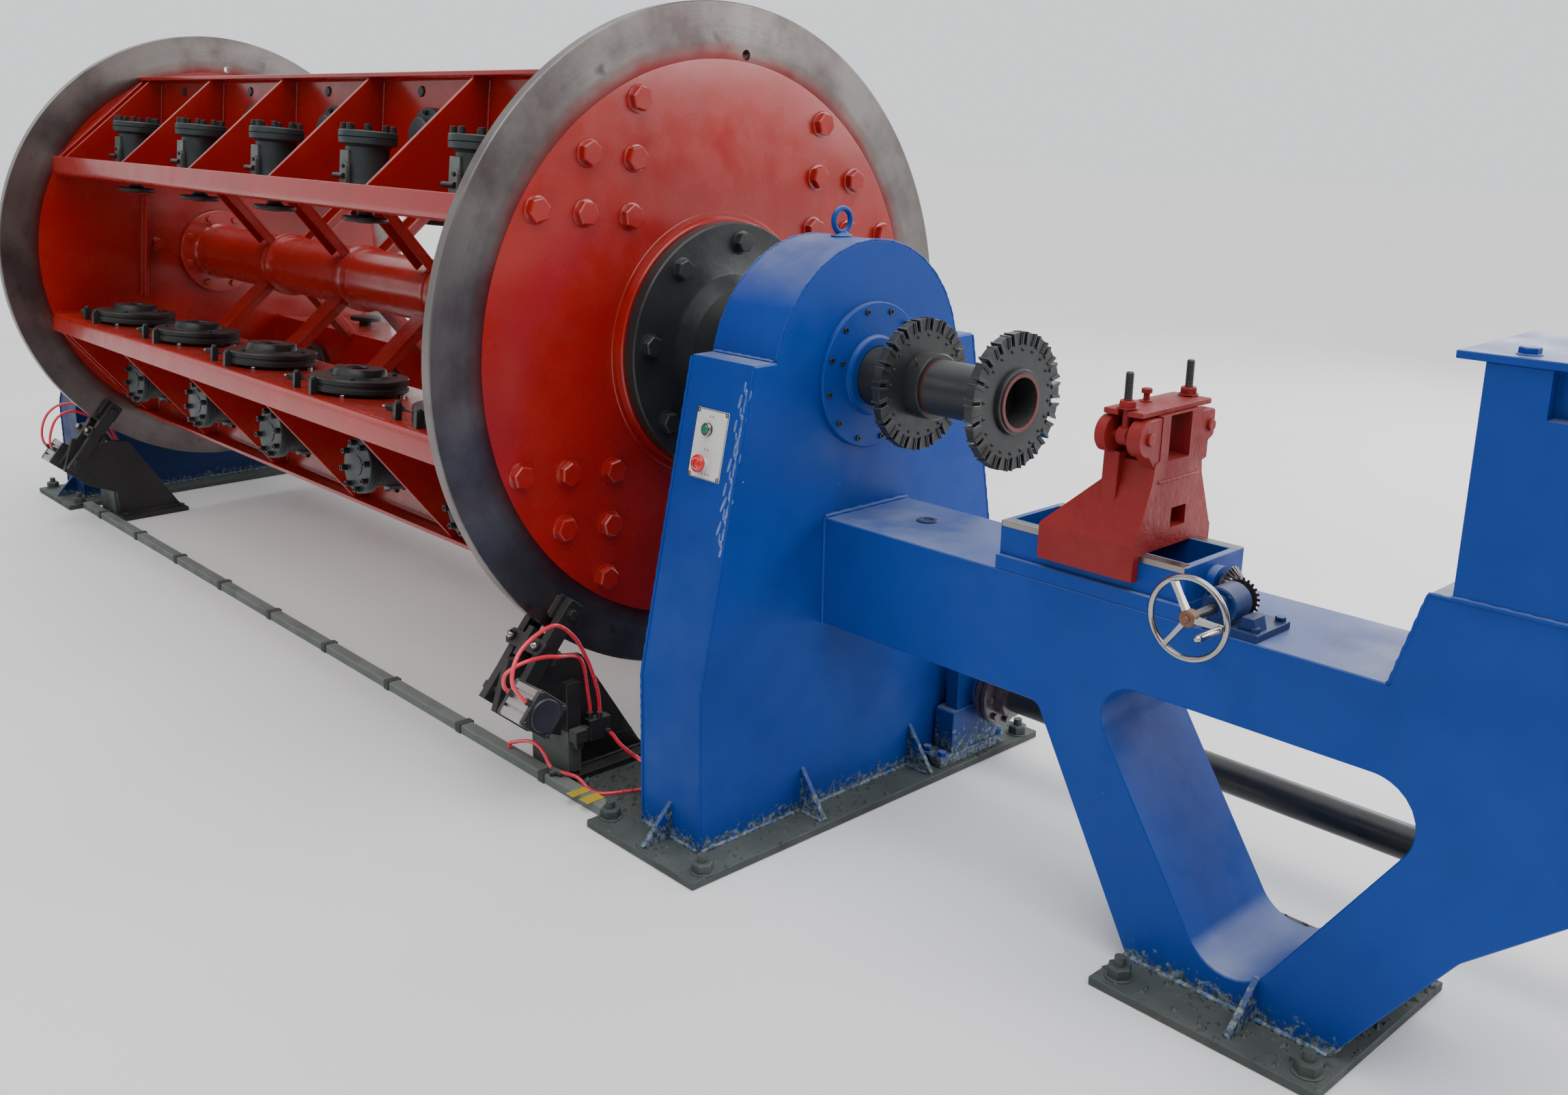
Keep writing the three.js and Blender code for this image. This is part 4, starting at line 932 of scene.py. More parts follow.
# ---------------------------------------------------------------- pedestals
def housing():
    """The arched outline of a pedestal, in (y, z)."""
    start = math.degrees(math.asin(SHOULDER_Z / PED_R))
    return ([(PED_HALF, PLATE_TOP), (PED_HALF, KNEE_Z), (SHOULDER_Y, SHOULDER_Z)]
            + arc(0, 0, PED_R, start, 180 - start, 40)
            + [(-SHOULDER_Y, SHOULDER_Z), (-PED_HALF, KNEE_Z), (-PED_HALF, PLATE_TOP)])


def anchored_plate(plate_name, nuts_name, slot_name, extent, anchors, stud, nut):
    """A floor plate with its anchor studs and nuts; anchors are (x, y, turn of the nut)."""
    plate = fixed(plate_name, M["base"], slot_name, bevel=2.0)
    plate.box(*extent, FLOOR, PLATE_TOP)
    nut_piece = fixed(nuts_name, M["base"], slot_name)
    for x, y, spin in anchors:
        plate.rod(PLATE_TOP, PLATE_TOP + stud, 12, centred("Z", x, y), 16)
        nut_piece.hexhead((0, 0, 1), (x, y, PLATE_TOP), 46, nut, spin)
    plate.make()
    nut_piece.make()


def pedestal_ribs(name, mid, face, sign, material, slot_name):
    """Triangular ribs on the base plate: one at each end, two on the face."""
    ribs = Piece(name + "_ribs", "ground", material, slot=slot_name, bevel=1.5)
    for s in (-1, 1):
        rib = [(s * 546, -1012), (s * PED_HALF, -1012), (s * 640, -1104), (s * 640, PLATE_TOP - 1),
               (s * 546, PLATE_TOP - 1)]
        ribs.prism(rib, mid - 7, mid + 7, centred("X"))
    toe = face + sign * 84
    for y in (-205, 205):
        ribs.prism([(face - sign * 4, -988), (face, -988), (toe, -1102), (toe, PLATE_TOP - 1),
                    (face - sign * 4, PLATE_TOP - 1)],
                   y - 7, y + 7, centred("Y"))
    ribs.make()


def pedestal_welds(name, x0, x1, face, sign, paint, slot_name):
    seams = fixed(name + "_welds", paint, slot_name)
    mid = (x0 + x1) / 2
    foot = PLATE_TOP + 1
    for s in (-1, 1):
        for x in (x0 + 3, x1 - 3):
            seams.weld((x, s * PED_HALF, foot + 1), (x, s * PED_HALF, KNEE_Z), 4)
            seams.weld((x, s * PED_HALF, KNEE_Z), (x, s * (SHOULDER_Y + 1), SHOULDER_Z - 4), 4)
        seams.weld((x0 + 3, s * (PED_HALF + 1), foot), (x1 - 3, s * (PED_HALF + 1), foot), 7)
        seams.weld((x0 + 6, s * 324, SHOULDER_Z + 1), (x1 - 6, s * 324, SHOULDER_Z + 1), 5)
        seams.weld((face, s * 205 - 8, foot), (face + sign * 80, s * 205 - 8, foot), 6)
        seams.weld((mid - 8, s * (PED_HALF + 1), foot), (mid - 8, s * 632, foot), 6)
    for x, inward in ((x0, 3), (x1, -3)):
        seams.weld((x, 3 - PED_HALF, foot), (x, PED_HALF - 3, foot), 7)
        crown = [(x + inward, *p) for p in arc(0, 0, PED_R, 12, 168, 14)]
        for start, end in zip(crown, crown[1:]):
            seams.weld(start, end, 3.2)
    seams.make()


def pedestal(name, x0, x1, sign, paint, slot_name):
    """An arched bearing stand; sign: +1 where the face with the ribs looks downstream."""
    mid = (x0 + x1) / 2
    face = x1 if sign > 0 else x0
    bore = arc(0, 0, 74, 0, 355, 71)
    side_hole = arc(LINE_Y, LINE_Z, 53, 0, 350, 35)
    body = fixed(name + "_housing", paint, slot_name, [name], bevel=5.0)
    body.prism(housing(), x0, x1, centred("X"), [bore, side_hole])
    body.make()
    pedestal_ribs(name, mid, face, sign, paint if sign < 0 else M["blue_low"], slot_name)
    pedestal_welds(name, x0, x1, face, sign, paint, slot_name)
    anchored_plate(name + "_base", name + "_anchor_nuts", slot_name, (mid - 206, mid + 206, -655, 655),
                   [(mid + dx, y, dx) for y in (-600, 600) for dx in (-178, 178)], 44, 26)
    eye = fixed(name + "_eye_bolt", paint, slot_name)
    eye.torus(centred("X", 0, 367) @ Matrix.Translation((0, 0, mid)), 29, 7, 48, 12)
    eye.turn([(325, 0), (325, 27), (331, 27), (334, 20), (338, 14), (342, 12), (342, 0)],
             centred("Z", mid, 0), 28)
    eye.make()


pedestal("front_pedestal", PED_X0, PED_X1, 1, M["blue"], "machine_blue")
pedestal("rear_pedestal", REAR_PED_X0, REAR_PED_X1, -1, M["dark_blue"], "dark_blue")
rear_cover = fixed("rear_bearing_cover", M["dark_blue"], "dark_blue")
rear_cover.ring(REAR_PED_X0 - 14, REAR_PED_X0 + 1, 74, 180, centred("X"), 64)
rear_cover.make()

cover = fixed("front_bearing_cover_body", M["blue"], "machine_blue", ["front_bearing_cover"])
cover.turn([(576, 74), (576, 180), (585, 180), (588, 177), (588, 100), (591, 97), (598, 95), (600, 92),
            (600, 74)],
           centred("X"), 96, closed=True)
cover.make()
cover_screws = fixed("front_bearing_cover_screws", M["black"], "machine_blue")
for y, z in around(12, 160, radians(11)):
    cover_screws.socket((1, 0, 0), (587.5, y, z), 7.5, 5)
for y, z in around(3, 122, radians(40)):
    cover_screws.socket((1, 0, 0), (587.5, y, z), 6, 5)
cover_screws.bar((588, 108, 118), (603, 108, 118), 6, 12)
cover_screws.make()

# ---------------------------------------------------------------- control plate and buttons
PANEL_X, PANEL_DROP = 465.5, 197.0
shoulder_edge = Vector((PANEL_X, -SHOULDER_Y, SHOULDER_Z))
down = Vector((0, SHOULDER_Y - PED_HALF, KNEE_Z - SHOULDER_Z)).normalized()
out = Vector((0, down.z, -down.y))
slope_at = shoulder_edge + down * (PANEL_DROP / -down.z)
SLOPE = Matrix((Vector((-1, 0, 0)), -down, out)).transposed().to_4x4()


def on_slope(x, along):
    """Local z out of the pedestal's sloping side; along runs down it from the control plate's middle."""
    m = SLOPE.copy()
    m.translation = Vector((x, slope_at.y, slope_at.z)) + down * along
    return m


runs = fixed("front_pedestal_paint_runs", M["runs"], "machine_blue")
for i in range(34):
    a, b, c = (i * 0.618) % 1, (i * 0.381 + 0.2) % 1, (i * 0.773 + 0.4) % 1
    size = Matrix.Diagonal((3 + 5 * b, 7 + 15 * c, 1.3 + 1.2 * a, 1))
    lean = Matrix.Rotation(0.7 * (c - 0.5), 4, "Z")
    blob = on_slope(552 + 19 * b - 12 * (a > 0.8), -150 + 11.5 * i) @ lean @ size
    runs.turn([(-0.6, 0), (-0.6, 1), (0, 1), (0.55, 0.8), (0.9, 0.42), (1, 0)], blob, 9)
runs.make()
START, STOP = (457, -35), (463, 46)
panel = fixed("control_plate_body", M["panel"], "panel_grey", ["control_plate"], bevel=0.5)
panel.prism(rounded([(-56, -83, 3), (56, -83, 3), (56, 83, 3), (-56, 83, 3)], 4), 0.3, 2.3,
            on_slope(PANEL_X, 0))
panel.turn([(2, 10.8), (2, 14), (12.5, 14), (13, 13.5), (13, 10.8)], on_slope(*STOP), 40, closed=True)
panel.make()
trim = fixed("control_plate_trim", M["bright"], "panel_grey")
trim.turn([(5.5, 11), (5.5, 15.2), (7, 15.5), (7.8, 14.4), (8.6, 14.4), (9.2, 15.3), (11.6, 15), (12.6, 14),
           (12.6, 11)], on_slope(*START), 40, closed=True)
for sx in (-1, 1):
    for sy in (-1, 1):
        trim.turn([(2.2, 0), (2.2, 3.4), (3.2, 3.2), (4.4, 1.8), (4.6, 0)],
                  on_slope(PANEL_X + 49 * sx, 76 * sy), 16)
    trim.box(-0.8, 0.8, -82, 82, 2.2, 2.9, on_slope(PANEL_X + 54.4 * sx, 0))
    trim.box(-55, 55, -0.8, 0.8, 2.2, 2.9, on_slope(PANEL_X, 81.4 * sx))
trim.make()
labels = fixed("control_plate_labels", M["plastic"], "panel_grey")
labels.turn([(2, 11), (2, 15.8), (5.6, 15.8), (5.6, 11)], on_slope(*START), 40, closed=True)
for sx in (-1, 1):
    for sy in (-1, 1):
        labels.ring(2.2, 2.8, 3.4, 5.2, on_slope(PANEL_X + 49 * sx, 76 * sy), 20)
for x, along in ((456, 12), (466, 12), (459, -66), (468, -66), (447, 70), (459, 70), (471, 70), (483, 70)):
    for u, v in ((-2, -1.5), (1.6, 0), (-0.5, 2.2)):
        labels.box(u - 1.4, u + 1.4, v - 0.5, v + 0.5, 2.3, 2.5, on_slope(x, along))
    labels.box(-0.4, 0.4, -3, 3, 2.3, 2.5, on_slope(x, along))
labels.make()
go = Piece("start_button_cap", "start_push", M["green"], "green_plastic", ["start_button"])
go.turn([(6.8, 0), (6.8, 10.6), (13.6, 10.6), (15, 9.4), (15.2, 0)], on_slope(*START), 40)
go.make()
halt = Piece("stop_button_cap", "stop_push", M["signal"], "signal_red", ["stop_button"])
halt.turn([(8.2, 0), (8.2, 10), (18, 10), (19, 19), (21, 21.5), (26, 21.5), (29.5, 18), (31, 14), (30, 12),
           (30, 9), (31.4, 6), (31.8, 0)], on_slope(*STOP), 48)
halt.make()
arrows = Piece("stop_button_arrows", "stop_push", M["panel"], "signal_red")
for i in range(2):
    spin = on_slope(*STOP) @ Matrix.Rotation(radians(180 * i + 30), 4, "Z")
    band = arc(0, 0, 13.4, 0, 110, 10) + arc(0, 0, 12.6, 110, 0, 10)
    arrows.prism(band, 29.6, 31.2, spin)
arrows.make()

# ---------------------------------------------------------------- die stand
BEAM_TOP, BEAM_BOTTOM, BEAM_HALF, BEAM_END = -338.0, -611.0, 150.0, 2480
COLUMN_X0, COLUMN_X1, COLUMN_TOP, COLUMN_FOOT = 2052, 2350, 248.7, -158
LEG_X0, LEG_X1, SEAT_X0, SEAT_X1 = 1501, 1946, 2014, 2389
stand_outline = rounded([
    (PED_X1 + 0.3, BEAM_TOP, 0), (PED_X1 + 0.3, BEAM_BOTTOM, 0), (1231, BEAM_BOTTOM, 30),
    (LEG_X0, PLATE_TOP - 1, 0), (LEG_X1, PLATE_TOP - 1, 0), (2150, -809, 60), (2367, BEAM_BOTTOM, 30),
    (BEAM_END, BEAM_BOTTOM, 4), (BEAM_END, BEAM_TOP, 4), (2436, BEAM_TOP, 3), (SEAT_X1, COLUMN_FOOT, 3),
    (COLUMN_X1, COLUMN_FOOT, 0), (COLUMN_X1, COLUMN_TOP, 0), (COLUMN_X0, COLUMN_TOP, 0),
    (COLUMN_X0, COLUMN_FOOT, 0), (SEAT_X0, COLUMN_FOOT, 3), (1967, BEAM_TOP, 2)], 6)
window = rounded([(1332, -512, 75), (1725, -1130, 100), (2120, -512, 89)], 14)
notch = tool(lambda p: p.box(2155, 2247, -172, -120, 166, 262))
stand = fixed("die_stand_body", M["blue"], "machine_blue", ["die_stand"], bevel=2.5)
stand.prism(stand_outline, -BEAM_HALF, BEAM_HALF, centred("Y"), [window])
stand.make([notch])
anchored_plate("die_stand_foot", "die_stand_foot_nuts", "machine_blue", (1490, 1985, -270, 270),
               [(x, y, x) for x in (1532, 1943) for y in (-222, 222)], 46, 27)
stand_ribs = fixed("die_stand_ribs", M["blue_low"], "machine_blue", bevel=1.5)
for s in (-1, 1):
    stand_ribs.prism([(s * 146, -1014), (s * 150, -1014), (s * 246, -1102), (s * 246, PLATE_TOP - 1),
                      (s * 146, PLATE_TOP - 1)],
                     1783, 1797, centred("X"))
stand_ribs.make()
stand_welds = fixed("die_stand_welds", M["blue"], "machine_blue")
for s in (-1, 1):
    y = s * BEAM_HALF
    stand_welds.weld((578, y, BEAM_TOP), (578, y, BEAM_BOTTOM), 6)
    stand_welds.weld((LEG_X0 - 3, y, PLATE_TOP + 1), (LEG_X1, y, PLATE_TOP + 1), 8)
    stand_welds.weld((1967, y - s * 2, BEAM_TOP), (SEAT_X0, y - s * 2, COLUMN_FOOT - 2), 4)
    stand_welds.weld((SEAT_X0, y, COLUMN_FOOT), (SEAT_X1, y, COLUMN_FOOT), 4)
    stand_welds.weld((COLUMN_X0, y, COLUMN_FOOT + 2), (COLUMN_X1, y, COLUMN_FOOT + 2), 5)
    stand_welds.weld((1782, y, PLATE_TOP + 1), (1782, s * 240, PLATE_TOP + 1), 6)
for x, z, bead in ((578, BEAM_TOP + 1, 7), (LEG_X0 - 3, PLATE_TOP + 1, 8), (LEG_X1, PLATE_TOP + 1, 8),
                   (COLUMN_X0, COLUMN_FOOT + 1, 5), (1966, BEAM_TOP + 1, 6)):
    stand_welds.weld((x, -BEAM_HALF, z), (x, BEAM_HALF, z), bead)
stand_welds.make()
plug = fixed("beam_top_plug", M["dark_blue"], "machine_blue")
plug.turn([(BEAM_TOP - 1, 0), (BEAM_TOP - 1, 26), (BEAM_TOP + 2, 26), (BEAM_TOP + 3.5, 24),
           (BEAM_TOP + 3.5, 15), (BEAM_TOP + 1, 13), (BEAM_TOP + 1, 0)],
          centred("Z", 760, 20), 32)
plug.make()

cap = fixed("column_cap_body", M["blue"], "machine_blue", ["column_cap"], bevel=1.5)
cap.box(2008, 2392, -160, 160, 249, 263)
cap.make()
cap_bolts = fixed("column_cap_bolts", M["blue"], "machine_blue")
for x in (2105, 2295):
    for y in (-118, 118):
        cap_bolts.hexhead((0, 0, 1), (x, y, 263), 30, 13, x + y)
cap_bolts.hexhead((0, 0, 1), (2200, -60, 263), 40, 22)
cap_bolts.rod(263, 300, 12, centred("Z", 2200, -60), 20)
cap_bolts.make()

# ---------------------------------------------------------------- slide frame on the beam
well = tool(lambda p: p.box(1116, 1536, -108, 50, -325, -200))
slide = fixed("slide_frame_body", M["blue"], "machine_blue", ["slide_frame"], bevel=1.2)
slide.box(1100.6, 1551.4, -138, 80, -330, -230.2)
slide.make([well])
lower = fixed("slide_frame_foot", M["blue"], "machine_blue", bevel=1.2)
lower.prism([(1100, -150), (1552, -150), (1552, 92), (1100, 92)], BEAM_TOP + 0.3, -306, centred("Z"),
            [[(1112, -134), (1540, -134), (1540, 76), (1112, 76)]])
lower.rod(1550, 1570, 38, centred("X", SCREW_Y, SCREW_Z), 32)
lower.make()
ways = fixed("slide_ways", M["way"], "machine_blue", bevel=0.6)
ways.box(1104, 1548, -139.2, -112, -243, -229.9)
ways.box(1104, 1548, 54, 81.2, -243, -229.9)
ways.make()

# ---------------------------------------------------------------- lead screw, handwheel, gear bracket
screw = Piece("lead_screw_body", "screw", M["grease"], "hub_black", ["lead_screw"])
thread = [(1108, 0), (1108, 11)]
for i in range(46):
    thread += [(1110 + 10 * i, 11.2), (1112 + 10 * i, 14), (1116 + 10 * i, 14), (1118 + 10 * i, 11.2)]
thread += [(1572, 12), (1573, 24), (1588, 24), (1588, 0)]
screw.turn(thread, centred("X", SCREW_Y, SCREW_Z), 20)


def bevel_gear(piece, m, teeth=24, big=43.5, root=37.5, small=24, width=20):
    outline = []
    for i in range(teeth):
        step = 360 / teeth
        outline += arc(0, 0, big, step * (i - 0.2), step * (i + 0.2), 1)
        outline += arc(0, 0, root, step * (i + 0.32), step * (i + 0.68), 1)
    n = len(outline)
    k = small / big
    verts = [(x, y, 0) for x, y in outline] + [(x * k, y * k, width) for x, y in outline]
    faces = [tuple(range(n)), tuple(range(2 * n - 1, n - 1, -1))]
    faces += [(i, (i + 1) % n, (i + 1) % n + n, i + n) for i in range(n)]
    piece.put(verts, faces, m)


bevel_gear(screw, centred("X", SCREW_Y, SCREW_Z) @ Matrix.Translation((0, 0, 1588)))
screw.make()
wheel_axis = centred("Y", WHEEL_X, SCREW_Z)
wheel = Piece("handwheel_body", "wheel", M["bright"], "bright_steel", ["handwheel"])
wheel.torus(wheel_axis @ Matrix.Translation((0, 0, WHEEL_Y)), 79, 6.3, 96, 14)
for deg in (-1, 118, 235):
    a = radians(deg)
    tip = Vector((WHEEL_X + 76 * cos(a), WHEEL_Y, SCREW_Z + 76 * sin(a)))
    hub_point = Vector((WHEEL_X + 12 * cos(a), WHEEL_Y + 3, SCREW_Z + 12 * sin(a)))
    length = (tip - hub_point).length
    square = ((-1, -1), (1, -1), (1, 1), (-1, 1))
    widths = ((0, 8.5, 5.0), (length * 0.6, 6.5, 4.2), (length, 7.5, 4.6))
    verts = [(sx * w, sy * h, z) for z, w, h in widths for sx, sy in square]
    faces = [(0, 1, 2, 3), (11, 10, 9, 8)]
    faces += [(k + i, k + (i + 1) % 4, k + (i + 1) % 4 + 4, k + i + 4) for k in (0, 4) for i in range(4)]
    wheel.put(verts, faces, pointing(tip - hub_point, hub_point))
handle = centred("Y", WHEEL_X + 71, SCREW_Z)
wheel.turn([(-350, 0), (-349, 4), (-345, 7), (-338, 8), (-278, 7), (-273, 5.5), (-270, 7.2), (-266, 7.2),
            (-264, 4.6), (-256, 4.6), (-256, 0)], handle, 24)
wheel.make()
wheel_hub = Piece("handwheel_hub", "wheel", M["rusty"], "bright_steel")
wheel_hub.turn([(-266, 0), (-266, 14), (-263, 17), (-246, 17), (-243, 14), (-243, 0)], wheel_axis, 32)
wheel_hub.turn([(-271, 0), (-271, 6), (-268, 8), (-265, 8), (-265, 0)], wheel_axis, 20)
wheel_hub.make()
Piece("handwheel_shaft", "wheel", M["black"], "bright_steel").rod(-244, -70, 10, wheel_axis, 24).make()
pinion = Piece("handwheel_gear", "wheel", M["grease"], "hub_black")
flip_gear = wheel_axis @ Matrix.Translation((0, 0, -74)) @ Matrix.Rotation(radians(7.5), 4, "Z")
bevel_gear(pinion, flip_gear)
pinion.rod(-83, -73, 23, wheel_axis, 24)
pinion.make()

bracket = fixed("gear_bracket_body", M["dark_blue"], "machine_blue", ["gear_bracket"], bevel=1.2)
bracket.box(1600, 1715, -148, -20, BEAM_TOP + 0.3, -322)
bracket.turn([(-152, 10.6), (-152, 34), (-149, 37), (-92, 37), (-88, 34), (-88, 10.6)], wheel_axis, 48,
             closed=True)
bracket.turn([(-172, 10.6), (-172, 22), (-168, 25), (-150, 25), (-150, 10.6)], wheel_axis, 40, closed=True)
bracket.box(1612, 1654, -140, -96, -324, -300)
bracket.prism([(1668, -324), (1708, -324), (1700, -296), (1676, -296)], -138, -96, centred("Y"))
bracket.make()
bracket_bolts = fixed("gear_bracket_bolts", M["dark_blue"], "machine_blue")
for x, y in ((1612, -132), (1702, -132), (1702, -36), (1612, -36)):
    bracket_bolts.hexhead((0, 0, 1), (x, y, -322), 18, 10, x)
for u, v in around(4, 30, radians(45)):
    bracket_bolts.socket((0, -1, 0), (WHEEL_X + u, -150, SCREW_Z + v), 4.2, 6)
bracket_bolts.make()

# ---------------------------------------------------------------- die holder
PIN_Z, HOLDER_Y = 7.0, -20.0
pin_ys = (HOLDER_Y - 111, HOLDER_Y + 111)
holder_cuts = [
    tool(lambda p: p.box(1322, 1460, -62, 16, -47, 47)),
    tool(lambda p: p.box(1385, 1460, -33, 21, -191, -149)),
    tool(lambda p: p.box(1205, 1460, -138.4, 80.4, -300, -229.6)),
]
holder = Piece("die_holder_body", "die_carriage", M["oxide"], "holder_oxide", ["die_holder"], bevel=2.5)
sections = [(-283, 1215, 1445, -160, 123), (-209, 1215, 1445, -160, 123), (-203, 1217, 1445, -156, 118),
            (-90, 1335, 1445, -112, 72), (-46, 1335, 1445, -105, 66), (-42, 1335, 1445, -91, 57),
            (48, 1335, 1445, -90, 56)]
verts, faces = [], [(3, 2, 1, 0)]
for z, xa, xb, ya, yb in sections:
    verts += [(xa, ya, z), (xb, ya, z), (xb, yb, z), (xa, yb, z)]
for k in range(0, 4 * (len(sections) - 1), 4):
    faces += [(k + i, k + (i + 1) % 4, k + (i + 1) % 4 + 4, k + i + 4) for i in range(4)]
top = 4 * (len(sections) - 1)
faces.append((top, top + 1, top + 2, top + 3))
holder.put(verts, faces)
holder.make(holder_cuts)
ears = Piece("die_holder_ears", "die_carriage", M["oxide"], "holder_oxide", bevel=2.0)
for y, inward in zip(pin_ys, (1, -1)):
    cheek = [(y + inward * 4, -30), (y + inward * 46, -30), (y + inward * 46, -120), (y, -150)]
    ears.prism(cheek, 1337, 1373, centred("X"))
    for a, b in ((1338, 1362), (1412, 1443.5)):
        if inward > 0:
            edge = [(y + 42, PIN_Z + 38)] + arc(y, PIN_Z, 38, 90, 270, 16) + [(y + 42, -78)]
        else:
            edge = rounded([(y - 44, 41, 0), (y + 17, 41, 8), (y + 18, -16, 10), (y - 2, -26, 4),
                            (y - 2, -62, 3), (y - 44, -72, 0)], 4)
        ears.prism(edge, a, b, centred("X"))
ears.make()
pins = Piece("die_holder_pins", "die_carriage", M["oxide"], "holder_oxide")
for y in pin_ys:
    pins.turn([(1332, 0), (1332, 8), (1441, 8), (1441, 13), (1448, 13), (1450, 11), (1450, 0)],
              centred("X", y, PIN_Z), 24)
pins.box(1300, 1360, SCREW_Y - 24, SCREW_Y + 24, -308, -222)
for y in (-90, 56):
    pins.weld((1337, y, -88), (1443, y, -88), 3)
pins.weld((1445, -90, -88), (1445, 56, -88), 3)
pins.make()
clamp_cuts = [
    tool(lambda p: p.box(1376, 1398, -170, pin_ys[0] + 12, 30, 80)),
    tool(lambda p: p.box(1376, 1398, pin_ys[1] - 12, 140, 30, 80)),
]
clamp = Piece("clamp_plate_body", "die_carriage", M["oxide"], "holder_oxide", ["clamp_plate"], bevel=1.5)
clamp.box(1342, 1433, -146.5, 106.5, 48.3, 60)
clamp.make(clamp_cuts)
tee = Piece("clamp_plate_screw", "die_carriage", M["oxide"], "holder_oxide")
tee.turn([(59, 0), (59, 13), (62, 13), (63, 6.5), (78, 6.5), (78, 11), (86, 11), (88, 9), (88, 0)],
         centred("Z", 1366, -32), 20)
tee.make()
for label, y in (("near", pin_ys[0]), ("far", pin_ys[1])):
    eye = Piece(f"swing_bolt_{label}_body", f"{label}_swing_bolt", M["oxide"], "holder_oxide",
                [f"swing_bolt_{label}"])
    eye.turn([(1375, 8.6), (1375, 18), (1377, 19.5), (1397, 19.5), (1399, 18), (1399, 8.6)],
             centred("X", y, PIN_Z), 32, closed=True)
    eye.rod(PIN_Z + 14, 82, 8.6, centred("Z", 1387, y), 20)
    eye.hexhead((0, 0, 1), (1387, y, 62.6), 32, 16)
    eye.make()
    stud = Piece(f"swing_bolt_{label}_thread", f"{label}_swing_bolt", M["black"], "holder_oxide")
    profile = [(78, 0), (78, 7.4)]
    for i in range(18):
        profile += [(80 + 3 * i, 7.6), (81.5 + 3 * i, 9)]
    profile += [(134, 7.6), (136, 6), (136, 0)]
    stud.turn(profile, centred("Z", 1387, y), 16)
    stud.make()

# ---------------------------------------------------------------- line shaft and its bearing block
line_axis = centred("X", LINE_Y, LINE_Z)
line = Piece("line_shaft_body", "line_shafting", M["black"], "hub_black", ["line_shaft"])
line.turn([(-3990, 0), (-3990, 38), (-3987, 41), (2437, 41), (2440, 38), (2440, 0)], line_axis, 40)
line.make()
coupling = Piece("line_shaft_coupling", "line_shafting", M["grease"], "hub_black")
coupling.turn([(668, 41), (668, 88), (672, 92), (685, 92), (687, 84), (690, 84), (692, 92), (704, 92),
               (708, 88), (708, 60), (740, 58), (742, 41)], line_axis, 40, closed=True)
for u, v in around(8, 74):
    coupling.hexhead((1, 0, 0), (708, LINE_Y + u, LINE_Z + v), 16, 10, washer=False)
coupling.ring(1050, 1080, 41, 70, line_axis, 40)
coupling.make()
block = fixed("bearing_block_body", M["blue_low"], "machine_blue", ["bearing_block"], bevel=2)
block.box(577, 655, 250, 520, PLATE_TOP + 0.3, -1080)
block.prism(rounded([(300, -1082, 4), (516, -1082, 4), (516, -960, 12), (300, -960, 12)], 4), 584, 648,
            centred("X"), [arc(LINE_Y, LINE_Z - 75, 20, 0, 340, 17)])
block.turn([(582, 43), (582, 66), (586, 69), (646, 69), (650, 66), (650, 43)], line_axis, 48, closed=True)
block.box(600, 642, 322, 384, -975, -802)
block.make()
block_bolts = fixed("bearing_block_bolts", M["blue"], "machine_blue")
for x in (590, 642):
    for y in (266, 504):
        block_bolts.hexhead((0, 0, 1), (x, y, -1080), 24, 15, x)
block_bolts.bar((621, 353, -802), (621, 353, -780), 9, 14)
block_bolts.make()

# ---------------------------------------------------------------- floor duct
duct = fixed("floor_duct_body", M["duct"], "duct_green", ["floor_duct"], bevel=1.5)
d0, d1 = span("floor_duct", 0)
duct.prism([(-596, FLOOR), (-554, FLOOR), (-554, FLOOR + 22), (-558, FLOOR + 26), (-592, FLOOR + 26),
            (-596, FLOOR + 22)], d0, d1, centred("X"))
duct.make()
clips = fixed("floor_duct_clips", M["base"], "duct_green", bevel=0.6)
for i in range(9):
    x = d0 + 200 + i * 420
    clips.box(x, x + 26, -600, -551, FLOOR, FLOOR + 28)
clips.make()


# ---------------------------------------------------------------- rim brakes
PIVOT, FOOT = 958.0, 1100.0
PAD_FACE = DISC_T / 2 + 1.5
ARM = PAD_FACE + 35
POST_TOP = -850.0


def brake_links(prefix, x):
    """Two plates that carry the pivots, their pins, the head between them, and domed bolts."""
    links = fixed(f"{prefix}_brake_links", M["brake"], "brake_black", bevel=1.2, local=RIM)
    end, tip = ARM + 14, ARM + 26
    plate = [(-end, 936), (end, 936), (tip, 948), (tip, 968), (end, 980), (-end, 980), (-tip, 968),
             (-tip, 948)]
    for w in (-34, 24):
        links.prism([(x(a), r) for a, r in plate], w, w + 10, centred("Z"))
    for s in (-1, 1):
        links.turn([(-44, 0), (-44, 14), (-38, 14), (-38, 9), (38, 9), (38, 14), (44, 14), (44, 0)],
                   centred("Z", x(s * ARM), PIVOT), 24)
    links.box(x(-11), x(11), 914, 1000, -40, 40)
    links.make()
    domes = fixed(f"{prefix}_brake_pivot_bolts", M["bright"], "brake_black", local=RIM)
    for s in (-1, 1):
        for away in (1, -1):
            domes.turn([(0, 0), (0, 11), (4, 10), (8, 6), (9.5, 0)],
                       pointing((0, 0, away), (x(s * ARM), PIVOT, away * 44)), 16)
    domes.make()


